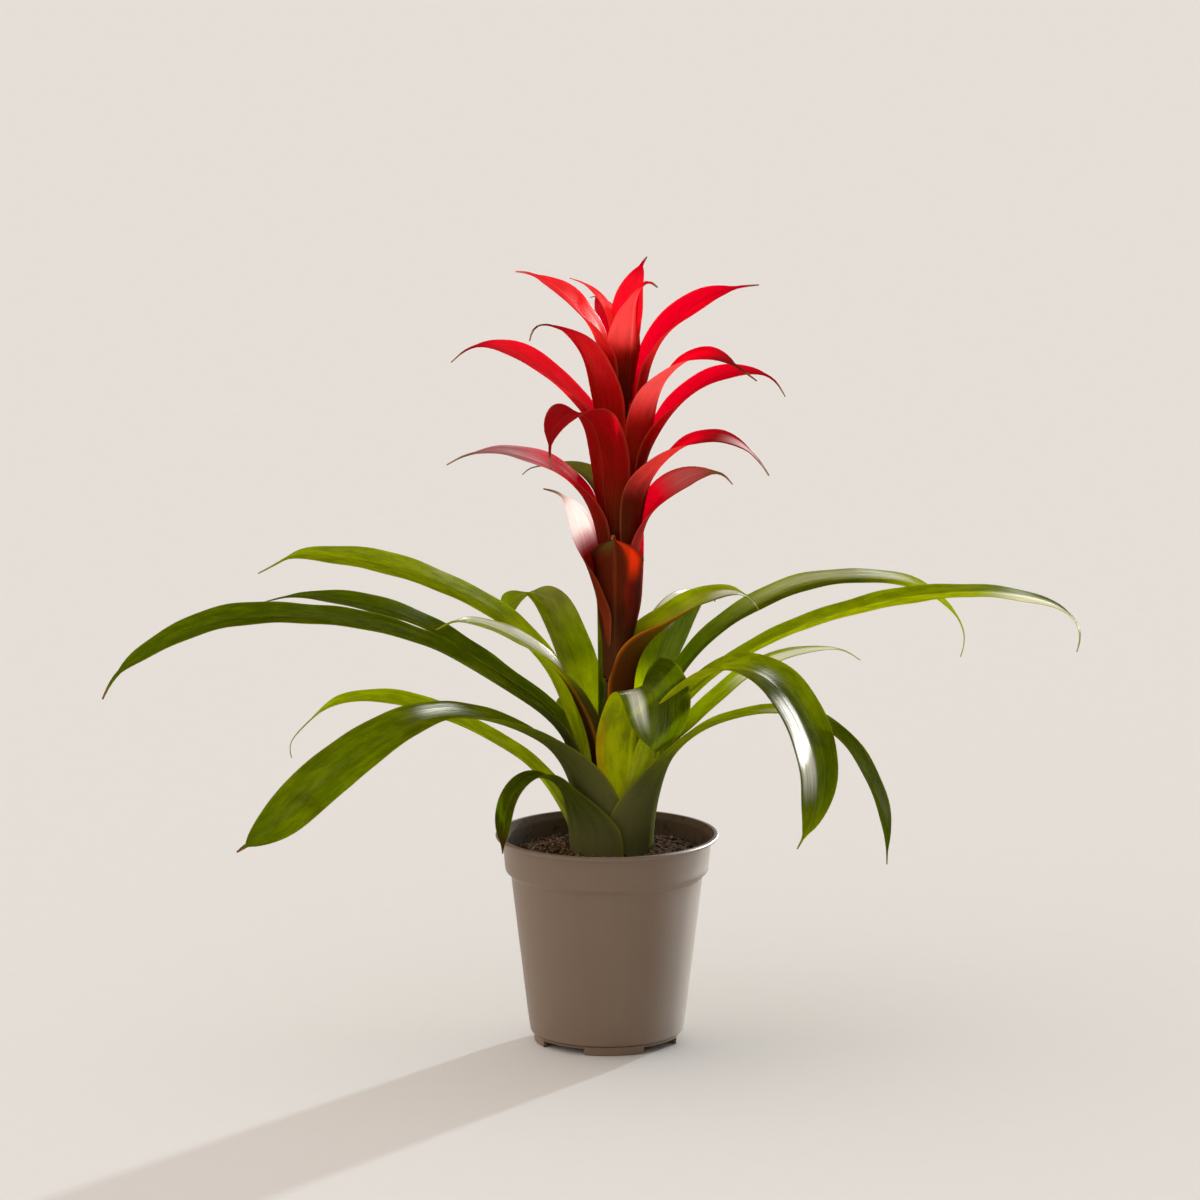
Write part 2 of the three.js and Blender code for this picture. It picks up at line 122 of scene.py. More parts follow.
class Value:
    """A number in a node tree, which Python's operators can work on."""

    def __init__(self, nodes: "Nodes", socket: bpy.types.NodeSocket) -> None:
        """Wraps an output socket of a tree."""
        self.nodes = nodes
        self.socket = socket

    def _worked(self, operation: str, *terms: "Value | float") -> "Value":
        """Adds the Math node of an operation on the terms, which are given in their order."""
        return self.nodes.value(self.nodes.node("ShaderNodeMath", {"operation": operation}, dict(enumerate(terms))))

    def __add__(self, other: "Value | float") -> "Value":
        """Sum of two values."""
        return self._worked("ADD", self, other)

    def __radd__(self, other: float) -> "Value":
        """Sum with a number on the left."""
        return self._worked("ADD", other, self)

    def __sub__(self, other: "Value | float") -> "Value":
        """Difference of two values."""
        return self._worked("SUBTRACT", self, other)

    def __rsub__(self, other: float) -> "Value":
        """Difference from a number on the left."""
        return self._worked("SUBTRACT", other, self)

    def __mul__(self, other: "Value | float") -> "Value":
        """Product of two values."""
        return self._worked("MULTIPLY", self, other)

    def __rmul__(self, other: float) -> "Value":
        """Product with a number on the left."""
        return self._worked("MULTIPLY", other, self)

    def __abs__(self) -> "Value":
        """Size of the value without its sign."""
        return self._worked("ABSOLUTE", self)

    def sine(self) -> "Value":
        """Sine of the value in radians."""
        return self._worked("SINE", self)

    def held(self) -> "Value":
        """The value kept between 0 and 1."""
        settings = {"operation": "ADD", "use_clamp": True}
        return self.nodes.value(self.nodes.node("ShaderNodeMath", settings, {0: self, 1: 0.0}))

    def rise(self, low: float, high: float) -> "Value":
        """Smooth rise from 0 where the value is low to 1 where it is high."""
        settings = {"interpolation_type": "SMOOTHSTEP"}
        return self.nodes.value(self.nodes.node("ShaderNodeMapRange", settings, {0: self, 1: low, 2: high}))


class Nodes:
    """A tree of shader nodes being made up. All its nodes come from node()."""

    def __init__(self, tree: bpy.types.NodeTree) -> None:
        """Takes a tree and empties it."""
        self.tree = tree
        self.tree.nodes.clear()

    def node(self, kind: str, settings: dict | None = None, inputs: dict | None = None) -> bpy.types.Node:
        """Adds one node.

        Args:
            kind: the node's type.
            settings: what is set on the node itself, before its sockets.
            inputs: number or name of a socket to a number, a colour, a Value or another node's output.

        Returns:
            The new node.
        """
        made = self.tree.nodes.new(kind)
        for name, setting in (settings or {}).items():
            setattr(made, name, setting)
        for name, given in (inputs or {}).items():
            given = given.socket if isinstance(given, Value) else given
            if isinstance(given, bpy.types.NodeSocket):
                self.tree.links.new(given, made.inputs[name])
            elif isinstance(given, tuple) and made.inputs[name].type == "RGBA":
                made.inputs[name].default_value = (*given, 1.0)
            else:
                made.inputs[name].default_value = given
        return made

    def value(self, node: bpy.types.Node, output: int | str = 0) -> Value:
        """One output of a node, as a value."""
        return Value(self, node.outputs[output])


class Paint(Nodes):
    """One material being made up."""

    def __init__(self, name: str) -> None:
        """Starts an empty material.

        Args:
            name: the finish's plain name.
        """
        self.material = bpy.data.materials.new(name)
        self.material.use_nodes = True
        super().__init__(self.material.node_tree)

    def stored(self, name: str) -> Value:
        """A number that the mesh keeps for each vertex."""
        return self.value(self.node("ShaderNodeAttribute", {"attribute_name": name}), "Fac")

    def place(self) -> bpy.types.NodeSocket:
        """Place on the object, in metres."""
        return self.node("ShaderNodeTexCoord").outputs["Object"]

    def parts(self, vector: bpy.types.NodeSocket) -> tuple[Value, ...]:
        """The three values of a vector."""
        split = self.node("ShaderNodeSeparateXYZ", None, {0: vector})
        return tuple(self.value(split, k) for k in range(3))

    def vector(self, x: Value | float, y: Value | float, z: Value | float) -> bpy.types.NodeSocket:
        """A vector of three values."""
        return self.node("ShaderNodeCombineXYZ", None, {0: x, 1: y, 2: z}).outputs[0]

    def cloud(self, vector: bpy.types.NodeSocket, scale: float, detail: float = 2.0, rough: float = 0.5) -> Value:
        """Soft noise between 0 and 1."""
        inputs = {"Vector": vector, "Scale": scale, "Detail": detail, "Roughness": rough}
        return self.value(self.node("ShaderNodeTexNoise", None, inputs))

    def cells(self, vector: bpy.types.NodeSocket, scale: float) -> Value:
        """Distance to scattered points, for grains and chips."""
        return self.value(self.node("ShaderNodeTexVoronoi", {"feature": "F1"}, {"Vector": vector, "Scale": scale}))

    def mix(
        self,
        share: Value | float,
        first: Colour | bpy.types.NodeSocket,
        second: Colour | bpy.types.NodeSocket,
        blend: str = "MIX",
    ) -> bpy.types.NodeSocket:
        """Mixes two colours.

        Args:
            share: 0 gives the first and 1 the second.
            first: the colour under it.
            second: the colour that comes in.
            blend: how it comes in.

        Returns:
            The socket of the mixed colour.
        """
        settings = {"data_type": "RGBA", "blend_type": blend, "clamp_factor": True}
        return self.node("ShaderNodeMix", settings, {0: share, 6: first, 7: second}).outputs[2]

    def bump(self, height: Value, depth: float, strength: float) -> bpy.types.NodeSocket:
        """Normal of a relief that is depth metres deep where the height is 1."""
        inputs = {"Height": height, "Distance": depth, "Strength": strength}
        return self.node("ShaderNodeBump", None, inputs).outputs[0]

    def surface(self, inputs: dict) -> bpy.types.NodeSocket:
        """Shader of a surface, from the names of its sockets to what they get."""
        return self.node("ShaderNodeBsdfPrincipled", None, inputs).outputs[0]

    def glow(self, colour: Colour, normal: bpy.types.NodeSocket) -> bpy.types.NodeSocket:
        """Shader of a thin skin that light from behind shines through in one colour."""
        return self.node("ShaderNodeBsdfTranslucent", None, {"Color": colour, "Normal": normal}).outputs[0]

    def blend(
        self, share: Value, first: bpy.types.NodeSocket, second: bpy.types.NodeSocket
    ) -> bpy.types.NodeSocket:
        """Mixes two shaders: a share of 0 gives the first and 1 the second."""
        return self.node("ShaderNodeMixShader", None, {0: share, 1: first, 2: second}).outputs[0]

    def shown(self, shader: bpy.types.NodeSocket) -> bpy.types.Material:
        """Ends the tree in a surface and returns the material."""
        self.node("ShaderNodeOutputMaterial", None, {"Surface": shader})
        return self.material


class Tone(Enum):
    """Tones that a mark can give a blade, each kept in the mesh under its value. Blush, warm and faded are tones of
    the tissue, and the warm patches of bract_01 and leaf_front_inner are also a painted sunlit glow; the tone of new
    growth also paints sunlit parts lighter; sheen is a gloss; pale is a painted highlight.
    """

    BLUSH = "blush"
    YOUNG_AND_LIT = "young_and_lit"
    WARM = "warm"
    SHEEN = "sheen"
    FADED = "faded"
    PAINTED_GLINT = "pale"


@dataclass(frozen=True)
class Mark:
    """A patch of another tone on a blade, with soft edges.

    Reach is its range along the blade and across its range between the margins; face is 1 for the face towards the
    axis, 0 for the other and None for both.
    """

    tone: Tone
    reach: tuple[float, float] = (-1.0, 2.0)
    across: tuple[float, float] = (-2.0, 2.0)
    face: int | None = None
    share: float = 1.0
    soft: float = 0.08

    def over(self, reach: np.ndarray, across: np.ndarray, upper: np.ndarray) -> np.ndarray:
        """How strong the mark is at every vertex.

        Args:
            reach: share of the length.
            across: -1 to 1 from one margin to the other.
            upper: 1 on the face towards the plant's axis and 0 on the other.

        Returns:
            Values from 0 to the mark's share.
        """
        value = self.share * np.ones(reach.shape)
        for place, (low, high), soft in ((reach, self.reach, self.soft), (across, self.across, 2.0 * self.soft)):
            begun = smoothstep(place, low - soft, low + soft)
            value = value * begun * (1.0 - smoothstep(place, high - soft, high + soft))
        return value if self.face is None else value * (upper if self.face else 1.0 - upper)


class BladePattern:
    """The numbers that a blade's mesh keeps, and the patterns and masks that its finish makes of them."""

    def __init__(self, paint: Paint, sheath_ends: float) -> None:
        """Makes every pattern once, for the colours, the relief and the light to share.

        Args:
            paint: the material being made up.
            sheath_ends: share of the length where the last of the sheath's colour goes.
        """
        reach, self.across, self.upper = paint.stored("reach"), paint.stored("across"), paint.stored("upper")
        across, upper = self.across, self.upper
        run, seed, ribs = paint.stored("run"), paint.stored("seed"), paint.stored("ribs")
        tones = {tone: paint.stored(tone.value) for tone in Tone}
        self.blush, self.young_and_lit, self.warm = tones[Tone.BLUSH], tones[Tone.YOUNG_AND_LIT], tones[Tone.WARM]
        self.sheen, self.faded = tones[Tone.SHEEN], tones[Tone.FADED]
        self.dry = paint.stored("dry")

        self.threads = paint.cloud(paint.vector(across * ribs, run * 0.2, seed + upper * 3.0), 1.0, 3.0, 0.6)
        self.bands = paint.cloud(paint.vector(across * ribs * 0.28, run * 0.12, seed + upper * 5.0), 1.0, 2.0)
        self.mottle = paint.cloud(paint.vector(across * 2.2, run * 0.55, seed), 1.5, 4.0, 0.6)
        self.spots = paint.cloud(paint.vector(across * 9.0, run * 3.0, seed), 1.0, 3.0, 0.7)
        self.lines = ((across + self.threads * 0.02) * ribs * math.pi).sine()
        self.edge = abs(across).rise(0.8, 1.0)
        self.middle = 1.0 - abs(across).rise(0.015, 0.09)
        self.low = 1.0 - reach.rise(sheath_ends * 0.2, sheath_ends)
        self.stripe = 1.0 - (reach + abs(across) * 0.22 + (self.threads - 0.5) * 0.2).rise(sheath_ends, 0.78)
        self.dry_part = (self.dry + (self.mottle - 0.5) * 0.25 * self.dry.rise(0.0, 0.4)).rise(0.35, 0.6)
        # Painted highlight: the pale marks, streaked, stand in for glints of light on the skin.
        self.painted_glint = (tones[Tone.PAINTED_GLINT] * (0.68 + 0.5 * self.threads.rise(0.36, 0.56))).held()


@dataclass(frozen=True)
class BladeFinish:
    """Skin of a leaf or bract: two faces, a sheath, ribs, margins, a dry tip, the light that shines through, painted
    highlights and a painted glow.
    """

    name: str
    deep: Colour
    fresh: Colour
    under: Colour
    under_fresh: Colour
    sheath: Colour
    sheath_inside: Colour
    blush: Colour
    # Colour of new growth, which also paints sunlit parts of the skin lighter.
    young_and_lit: Colour
    warm: Colour
    faded: Colour
    margin: Colour
    tip: Colour
    glow: Colour
    glow_fresh: Colour
    glow_young: Colour
    glow_warm: Colour
    glow_share: float
    gloss: float
    under_gloss: float
    wax_gloss: float
    wax: float = 0.004
    wax_ior: float = 1.6
    shine: float = 0.0
    shine_tint: Colour = (1.0, 0.97, 0.5)
    sheath_ends: float = 0.34
    rib_depth: float = 0.0005
    rib_strength: float = 0.7
    stripe: float = 0.0
    rim: float = 0.93
    # Colour of the painted highlights.
    pale: Colour = (0.96, 0.92, 0.88)
    withered: Colour = (0.13, 0.07, 0.025)
    unlit: Colour = (0.0, 0.0, 0.0)
    spread: float = 0.55
    young_light: float = 0.45
    young_even: float = 0.3

    def build(self) -> bpy.types.Material:
        """Makes the material.

        Returns:
            The material, which reads the numbers that Blade keeps in its mesh.
        """
        paint = Paint(self.name)
        on = BladePattern(paint, self.sheath_ends)
        relief = on.threads * 0.45 + on.lines * 0.12 + on.bands * 0.5
        relief = relief - on.middle * 0.25 * on.upper + on.middle * 0.3 * (1.0 - on.upper)
        normal = paint.bump(relief + on.spots * 0.1, self.rib_depth, self.rib_strength)
        matt = on.upper * self.gloss + (1.0 - on.upper) * self.under_gloss
        streaks = on.threads.rise(0.36, 0.62) * 0.8 + 0.2
        face = paint.surface(
            {
                "Base Color": self.skin(paint, on),
                "Roughness": (matt + on.threads * 0.12 - 0.06 + on.dry_part * 0.35).held(),
                "Normal": normal,
                "Specular IOR Level": self.shine,
                "Specular Tint": self.shine_tint,
                # Painted glow: the skin gives out light of its own over the marks of sunlit parts, warm patches and
                # painted highlights.
                "Emission Color": self.inner_light(paint, on),
                "Emission Strength": self.spread,
                "Coat Weight": ((on.upper * self.wax + on.sheen * streaks) * (1.0 - on.dry_part)).held(),
                "Coat Roughness": self.wax_gloss,
                "Coat IOR": self.wax_ior,
            }
        )
        thin = (1.0 - on.low * 0.55) * (1.0 - on.dry_part * 0.8) * (1.0 - on.middle * 0.35)
        through = self.light_through(paint, on, normal)
        material = paint.shown(paint.blend((self.glow_share * thin).held(), face, through))
        material.cycles.emission_sampling = "NONE"
        return material

    def skin(self, paint: Paint, on: BladePattern) -> bpy.types.NodeSocket:
        """Paints the colour of both faces.

        Args:
            paint: the material being made up.
            on: the blade's patterns.

        Returns:
            The socket of the colour.
        """
        fresh = (on.mottle.rise(0.38, 0.68) * 0.5 + on.threads.rise(0.42, 0.68) * 0.45 + on.edge * 0.3).held()
        inside = paint.mix(fresh, self.deep, self.fresh)
        inside = paint.mix(on.bands.rise(0.42, 0.75) * 0.35, inside, self.deep, "MULTIPLY")
        inside = paint.mix(on.low * 0.85, inside, self.sheath_inside)
        streaks = (on.threads.rise(0.35, 0.75) * 0.55 + on.mottle * 0.3).held()
        outside = paint.mix(streaks, self.under, self.under_fresh)
        sheath = (on.low * (0.7 + 0.3 * on.mottle) + on.stripe * self.stripe).held()
        outside = paint.mix(sheath, outside, self.sheath)
        outside = paint.mix((on.lines * 0.5 + 0.5) * 0.12, outside, self.under_fresh)
        outside = paint.mix((on.edge * on.low * 0.55).held(), outside, self.under_fresh)
        skin = paint.mix(on.upper, outside, inside)
        skin = paint.mix(on.middle * 0.4, skin, self.under_fresh)
        # New growth is paler, and the same marks paint sunlit parts lighter.
        skin = paint.mix((on.young_and_lit * (self.young_even + 1.1 * on.mottle.rise(0.38, 0.62))).held(), skin, self.young_and_lit)
        skin = paint.mix((on.blush * (0.8 + 0.5 * (on.threads - 0.2))).held(), skin, self.blush)
        skin = paint.mix((on.warm * (0.75 + 0.4 * on.threads)).held(), skin, self.warm)
        skin = paint.mix((on.faded * (0.6 + 0.6 * on.mottle)).held(), skin, self.faded)
        # Painted highlight: the skin goes almost to the pale colour where the pale marks are.
        skin = paint.mix(on.painted_glint, skin, self.pale)
        skin = paint.mix(abs(on.across).rise(self.rim, 0.995) * 0.6, skin, self.margin)
        skin = paint.mix((on.spots.rise(0.7, 0.78) * 0.35).held(), skin, self.blush)
        skin = paint.mix((on.dry.rise(0.02, 0.4) * 0.6).held(), skin, self.margin)
        return paint.mix(on.dry_part, skin, paint.mix(on.spots * 0.6, self.tip, self.withered))

    def inner_light(self, paint: Paint, on: BladePattern) -> bpy.types.NodeSocket:
        """Paints a glow that the skin gives out itself, standing in for the light that spreads inside it where a beam
        falls.

        Args:
            paint: the material being made up.
            on: the blade's patterns.

        Returns:
            The socket of the light's colour.
        """
        light = paint.mix((on.young_and_lit * self.young_light * (0.5 + on.mottle)).held(), self.unlit, self.glow_young)
        light = paint.mix((on.warm * 0.5).held(), light, self.glow_warm)
        return paint.mix(on.painted_glint, light, self.pale)

    def light_through(self, paint: Paint, on: BladePattern, normal: bpy.types.NodeSocket) -> bpy.types.NodeSocket:
        """Mixes the colours that light from behind takes on in the skin.

        Args:
            paint: the material being made up.
            on: the blade's patterns.
            normal: the normal of the skin's relief.

        Returns:
            The socket of the shader.
        """
        through = paint.glow(self.glow, normal)
        for share, colour in (
            ((on.mottle * 0.6 + on.threads * 0.4).held(), self.glow_fresh),
            (on.young_and_lit, self.glow_young),
            ((on.blush * 0.92).held(), self.blush),
            (on.warm, self.glow_warm),
            ((on.faded * 0.9).held(), self.faded),
            # The painted highlights also let pale light through.
            (on.painted_glint, self.pale),
        ):
            through = paint.blend(share, through, paint.glow(colour, normal))
        return through


LEAF_SKIN = BladeFinish(
    name="green_leaf_skin",
    deep=(0.025, 0.033, 0.001),
    fresh=(0.13, 0.15, 0.002),
    under=(0.048, 0.06, 0.006),
    under_fresh=(0.15, 0.17, 0.028),
    sheath=(0.168, 0.162, 0.06),
    sheath_inside=(0.1, 0.095, 0.005),
    blush=(0.085, 0.026, 0.006),
    young_and_lit=(0.36, 0.42, 0.003),
    warm=(0.6, 0.13, 0.01),
    faded=(0.42, 0.4, 0.16),
    margin=(0.3, 0.28, 0.02),
    tip=(0.34, 0.18, 0.05),
    glow=(0.23, 0.3, 0.0),
    glow_fresh=(0.58, 0.68, 0.002),
    glow_young=(0.92, 1.0, 0.004),
    glow_warm=(1.0, 0.25, 0.01),
    glow_share=0.5,
    gloss=0.55,
    under_gloss=0.6,
    wax_gloss=0.27,
)

BRACT_SKIN = BladeFinish(
    name="red_bract_skin",
    deep=(0.5, 0.0, 0.012),
    fresh=(0.92, 0.002, 0.03),
    under=(0.24, 0.0, 0.005),
    under_fresh=(0.42, 0.02, 0.02),
    sheath=(0.06, 0.022, 0.004),
    sheath_inside=(0.35, 0.002, 0.004),
    blush=(0.14, 0.045, 0.016),
    young_and_lit=(0.98, 0.05, 0.045),
    warm=(0.95, 0.07, 0.01),
    faded=(0.26, 0.36, 0.05),
    margin=(0.4, 0.16, 0.06),
    tip=(0.55, 0.27, 0.14),
    glow=(1.0, 0.0, 0.09),
    glow_fresh=(1.0, 0.01, 0.18),
    glow_young=(1.0, 0.1, 0.08),
    glow_warm=(1.0, 0.1, 0.01),
    glow_share=0.68,
    gloss=0.42,
    under_gloss=0.5,
    wax_gloss=0.3,
    shine=0.005,
    shine_tint=(1.0, 0.6, 0.6),
    sheath_ends=0.42,
    rib_depth=0.0004,
    stripe=0.85,
    rim=0.88,
    spread=1.0,
    young_light=0.95,
    young_even=0.75,
)

# Marks of each blade. The pale marks are painted highlights; the marks of new growth are partly paler tissue and
# partly painted sunlit parts, which also glow; the warm patches of bract_01 and leaf_front_inner are a painted sunlit
# glow.
MARKS = {
    "leaf_right_inner": (
        Mark(Tone.BLUSH, (-1.0, 0.66), share=0.95, soft=0.14),
        Mark(Tone.WARM, (0.3, 0.9), (-2.0, 0.6), 0, 0.085),
        Mark(Tone.FADED, (0.7, 0.95), (-0.9, 0.5), 1, 0.35),
        Mark(Tone.WARM, (0.2, 0.8), (-2.0, -0.92), share=0.75, soft=0.04),
        Mark(Tone.YOUNG_AND_LIT, (0.6, 2.0), (-0.8, 2.0), 1, 0.6),
        Mark(Tone.SHEEN, (0.78, 1.0), face=1, share=0.6),
        Mark(Tone.PAINTED_GLINT, (0.86, 0.95), (-0.7, 0.3), 1, 0.6, 0.04),
    ),
    "leaf_left_inner": (
        Mark(Tone.BLUSH, (-1.0, 0.55), (-2.0, 0.35), share=0.95),
        Mark(Tone.WARM, (0.15, 0.6), (0.42, 0.5), share=0.6, soft=0.05),
        Mark(Tone.YOUNG_AND_LIT, (0.55, 2.0), share=0.45),
        Mark(Tone.SHEEN, (0.5, 0.95), face=1),
        Mark(Tone.PAINTED_GLINT, (0.56, 0.9), (-0.9, -0.2), 1, 0.6, 0.05),
    ),
    "leaf_front_inner": (
        Mark(Tone.YOUNG_AND_LIT, (0.2, 0.5), (-2.0, 0.2), 0, 1.0, 0.12),
        Mark(Tone.YOUNG_AND_LIT, (0.4, 2.0), (-2.0, 0.2), 0, 0.82, 0.12),
        Mark(Tone.YOUNG_AND_LIT, (0.2, 2.0), (0.2, 2.0), 0, 0.3),
        Mark(Tone.BLUSH, (0.2, 0.44), (0.1, 0.9), 0, 0.6),
        # Painted sunlit glow, orange-yellow, low on the leaf.
        Mark(Tone.WARM, (0.2, 0.5), (-2.0, -0.78), 0, 0.5),
        Mark(Tone.SHEEN, (0.5, 0.95), (-0.9, 0.4), 1),
        Mark(Tone.PAINTED_GLINT, (0.72, 0.86), (-0.75, -0.35), 1, 0.8, 0.06),
    ),
    "leaf_right_broad": (
        Mark(Tone.YOUNG_AND_LIT, (-1.0, 0.55), share=0.85),
        Mark(Tone.SHEEN, (0.55, 1.0), face=1),
        Mark(Tone.PAINTED_GLINT, (0.76, 0.96), (0.0, 1.0), 1, 0.9, 0.06),
    ),
    "leaf_back_left": (
        Mark(Tone.YOUNG_AND_LIT, (-1.0, 0.55), share=0.42),
        Mark(Tone.YOUNG_AND_LIT, (0.55, 2.0), share=0.2),
        Mark(Tone.FADED, (0.68, 0.9), (-2.0, 0.3), share=0.4),
    ),
    "leaf_right_high": (
        Mark(Tone.YOUNG_AND_LIT, (0.5, 0.8), (0.1, 2.0), share=0.25),
        Mark(Tone.FADED, (0.48, 0.82), (-0.1, 2.0), 1, 0.35, 0.1),
        Mark(Tone.YOUNG_AND_LIT, (0.78, 2.0), share=0.7),
        Mark(Tone.SHEEN, (0.45, 0.82), (0.1, 2.0), 1, 0.4),
        Mark(Tone.PAINTED_GLINT, (0.55, 0.72), (0.3, 0.8), 1, 0.3, 0.08),
    ),
    "leaf_left_high": (
        Mark(Tone.YOUNG_AND_LIT, (0.2, 0.5), share=0.5),
        Mark(Tone.YOUNG_AND_LIT, (0.45, 2.0), share=0.32),
        Mark(Tone.SHEEN, (0.5, 0.95), (-2.0, -0.4), 1, 0.4),
    ),
    "leaf_right_long": (
        Mark(Tone.YOUNG_AND_LIT, (0.2, 2.0), (-2.0, 0.2), share=0.65),
        Mark(Tone.YOUNG_AND_LIT, (0.3, 0.85), (0.2, 2.0), share=0.25),
        Mark(Tone.SHEEN, (0.76, 1.0), face=1, share=0.6),
        Mark(Tone.PAINTED_GLINT, (0.82, 0.94), (-0.9, 0.2), 1, 1.0, 0.04),
        Mark(Tone.SHEEN, (0.25, 0.5), (-0.4, 0.4), 1, 0.5),
    ),
    "leaf_left_behind": (Mark(Tone.SHEEN, (0.7, 0.9), face=1, share=0.4),),
    "leaf_right_arching": (
        Mark(Tone.YOUNG_AND_LIT, (0.15, 0.55), share=0.5),
        Mark(Tone.YOUNG_AND_LIT, (0.93, 2.0), share=0.3),
        Mark(Tone.YOUNG_AND_LIT, (0.5, 0.75), (0.3, 2.0), share=0.2),
        Mark(Tone.SHEEN, (0.56, 0.86), (-0.8, 0.5), 1, 0.7),
        Mark(Tone.PAINTED_GLINT, (0.67, 0.85), (-0.85, 0.0), 1, 0.8, 0.05),
    ),
    "leaf_left_long": (Mark(Tone.SHEEN, (0.35, 0.6), (0.15, 0.3), 1, 0.12),),
    "leaf_right_short": (
        Mark(Tone.YOUNG_AND_LIT, (0.4, 2.0), share=0.4),
        Mark(Tone.SHEEN, (0.55, 1.0), face=1, share=0.6),
        Mark(Tone.PAINTED_GLINT, (0.6, 0.95), (-0.9, 0.5), share=0.6, soft=0.06),
    ),
    "leaf_left_broad": (
        Mark(Tone.YOUNG_AND_LIT, (0.3, 0.95), share=0.08),
        Mark(Tone.SHEEN, (0.4, 0.53), (-0.8, 0.0), 1, 0.9),
        Mark(Tone.SHEEN, (0.75, 0.95), (-0.5, 0.1), 1, 0.5),
    ),
    "leaf_right_low": (
        Mark(Tone.YOUNG_AND_LIT, (0.25, 0.6), share=0.35),
        Mark(Tone.PAINTED_GLINT, (0.5, 0.6), (-0.7, 0.5), 1, 0.4, 0.05),
        Mark(Tone.BLUSH, (0.7, 0.9), (-2.0, -0.85), share=0.7),
    ),
    "leaf_left_low": (Mark(Tone.YOUNG_AND_LIT, (0.1, 2.0), share=0.42), Mark(Tone.FADED, (0.9, 2.0), share=0.8)),
    "leaf_left_rim": (Mark(Tone.BLUSH, (0.93, 2.0), share=0.9),),
    "bract_01": (
        Mark(Tone.BLUSH, face=0, share=0.97),
        # Painted sunlit glow on the bract, red-orange.
        Mark(Tone.WARM, (0.66, 0.93), (0.4, 0.84), share=0.8, soft=0.07),
        Mark(Tone.WARM, (0.5, 2.0), (-0.7, 0.4), share=0.07),
        Mark(Tone.FADED, (0.84, 2.0), (-0.75, -0.1), share=0.85),
    ),
    "bract_02": (
        Mark(Tone.BLUSH, (-1.0, 0.75), face=0, share=0.9),
        Mark(Tone.BLUSH, (-1.0, 0.62), face=1, share=0.9),
        Mark(Tone.WARM, (0.2, 0.66), face=0, share=0.2),
        Mark(Tone.PAINTED_GLINT, (0.68, 0.9)),
        Mark(Tone.FADED, (0.9, 2.0)),
    ),
    "bract_04": (
        Mark(Tone.SHEEN, (0.55, 0.8), face=1, share=0.4),
        Mark(Tone.BLUSH, (0.7, 2.0), share=0.55),
        Mark(Tone.PAINTED_GLINT, (0.62, 0.92), share=0.2),
        Mark(Tone.FADED, (0.92, 2.0)),
    ),
    "bract_05": (
        Mark(Tone.YOUNG_AND_LIT, (0.3, 0.58), face=0, share=0.3),
        Mark(Tone.BLUSH, (0.66, 2.0), share=0.75),
        Mark(Tone.WARM, (0.66, 2.0), share=0.26),
        Mark(Tone.PAINTED_GLINT, (0.66, 0.86), (-0.9, 0.9), share=0.1),
        Mark(Tone.FADED, (0.88, 2.0)),
    ),
    "bract_06": (Mark(Tone.FADED, (0.6, 2.0), share=0.6),),
    "bract_07": (
        Mark(Tone.YOUNG_AND_LIT, (0.42, 0.68), (-2.0, 0.5), 0, 0.9),
        Mark(Tone.BLUSH, (0.7, 2.0), share=0.5),
        Mark(Tone.PAINTED_GLINT, (0.82, 0.95), (-0.6, 0.6), share=0.7),
    ),
    "bract_08": (Mark(Tone.FADED, (0.45, 2.0)),),
    "bract_09": (Mark(Tone.BLUSH, (0.62, 2.0), share=0.35),),
    "bract_11": (Mark(Tone.BLUSH, (0.86, 2.0), share=0.3),),
    "bract_12": (
        Mark(Tone.YOUNG_AND_LIT, (0.42, 0.78), (-2.0, 0.6), 0, 1.0),
        Mark(Tone.PAINTED_GLINT, (0.46, 0.72), (-2.0, 0.4), 0, 0.1),
        Mark(Tone.BLUSH, (0.82, 2.0), share=0.6),
    ),
    "bract_13": (Mark(Tone.YOUNG_AND_LIT, (0.4, 0.85), share=0.14), Mark(Tone.BLUSH, (0.88, 2.0), share=0.5)),
    "bract_14": (Mark(Tone.YOUNG_AND_LIT, (0.5, 0.75), (0.0, 2.0), 0, 0.15), Mark(Tone.BLUSH, (0.85, 2.0), share=0.7)),
    "bract_16": (Mark(Tone.YOUNG_AND_LIT, (0.4, 0.8), (-2.0, -0.1), 0, 0.4),),
    "bract_17": (Mark(Tone.SHEEN, (0.4, 0.9), face=1, share=0.2), Mark(Tone.YOUNG_AND_LIT, (0.4, 2.0), share=0.4)),
    "bract_18": (Mark(Tone.SHEEN, (0.4, 0.9), face=1, share=0.25), Mark(Tone.YOUNG_AND_LIT, (0.4, 2.0), share=0.4)),
    "bract_19": (Mark(Tone.YOUNG_AND_LIT, (0.3, 0.8), share=0.12),),
    "bract_20": (
        Mark(Tone.YOUNG_AND_LIT, (0.4, 0.85), (-2.0, 0.3), 0, 0.85),
        Mark(Tone.PAINTED_GLINT, (0.45, 0.8), (-2.0, 0.1), 0, 0.08),
    ),
}

# Places of a section's points, from the left margin at -1 over the midrib at 0 to the right margin at 1.
ACROSS = np.array([0.0, 0.03, 0.07, 0.13, 0.22, 0.34, 0.47, 0.6, 0.72, 0.83, 0.91, 0.96, 1.0])
ACROSS = np.concatenate([-ACROSS[:0:-1], ACROSS])
SPAN_STEPS = 40
MIDRIB_POINTS = 400
ROUNDINGS = 60
SECTION_POINTS = 201
STATION_STEP = 3.0
FEWEST_STATIONS, MOST_STATIONS = 44, 110
MAP_MARGIN = 0.01
MAP_BASE_CAP, MAP_TIP_CAP, MAP_CAP_WIDTH = 0.001, 0.993, 0.005


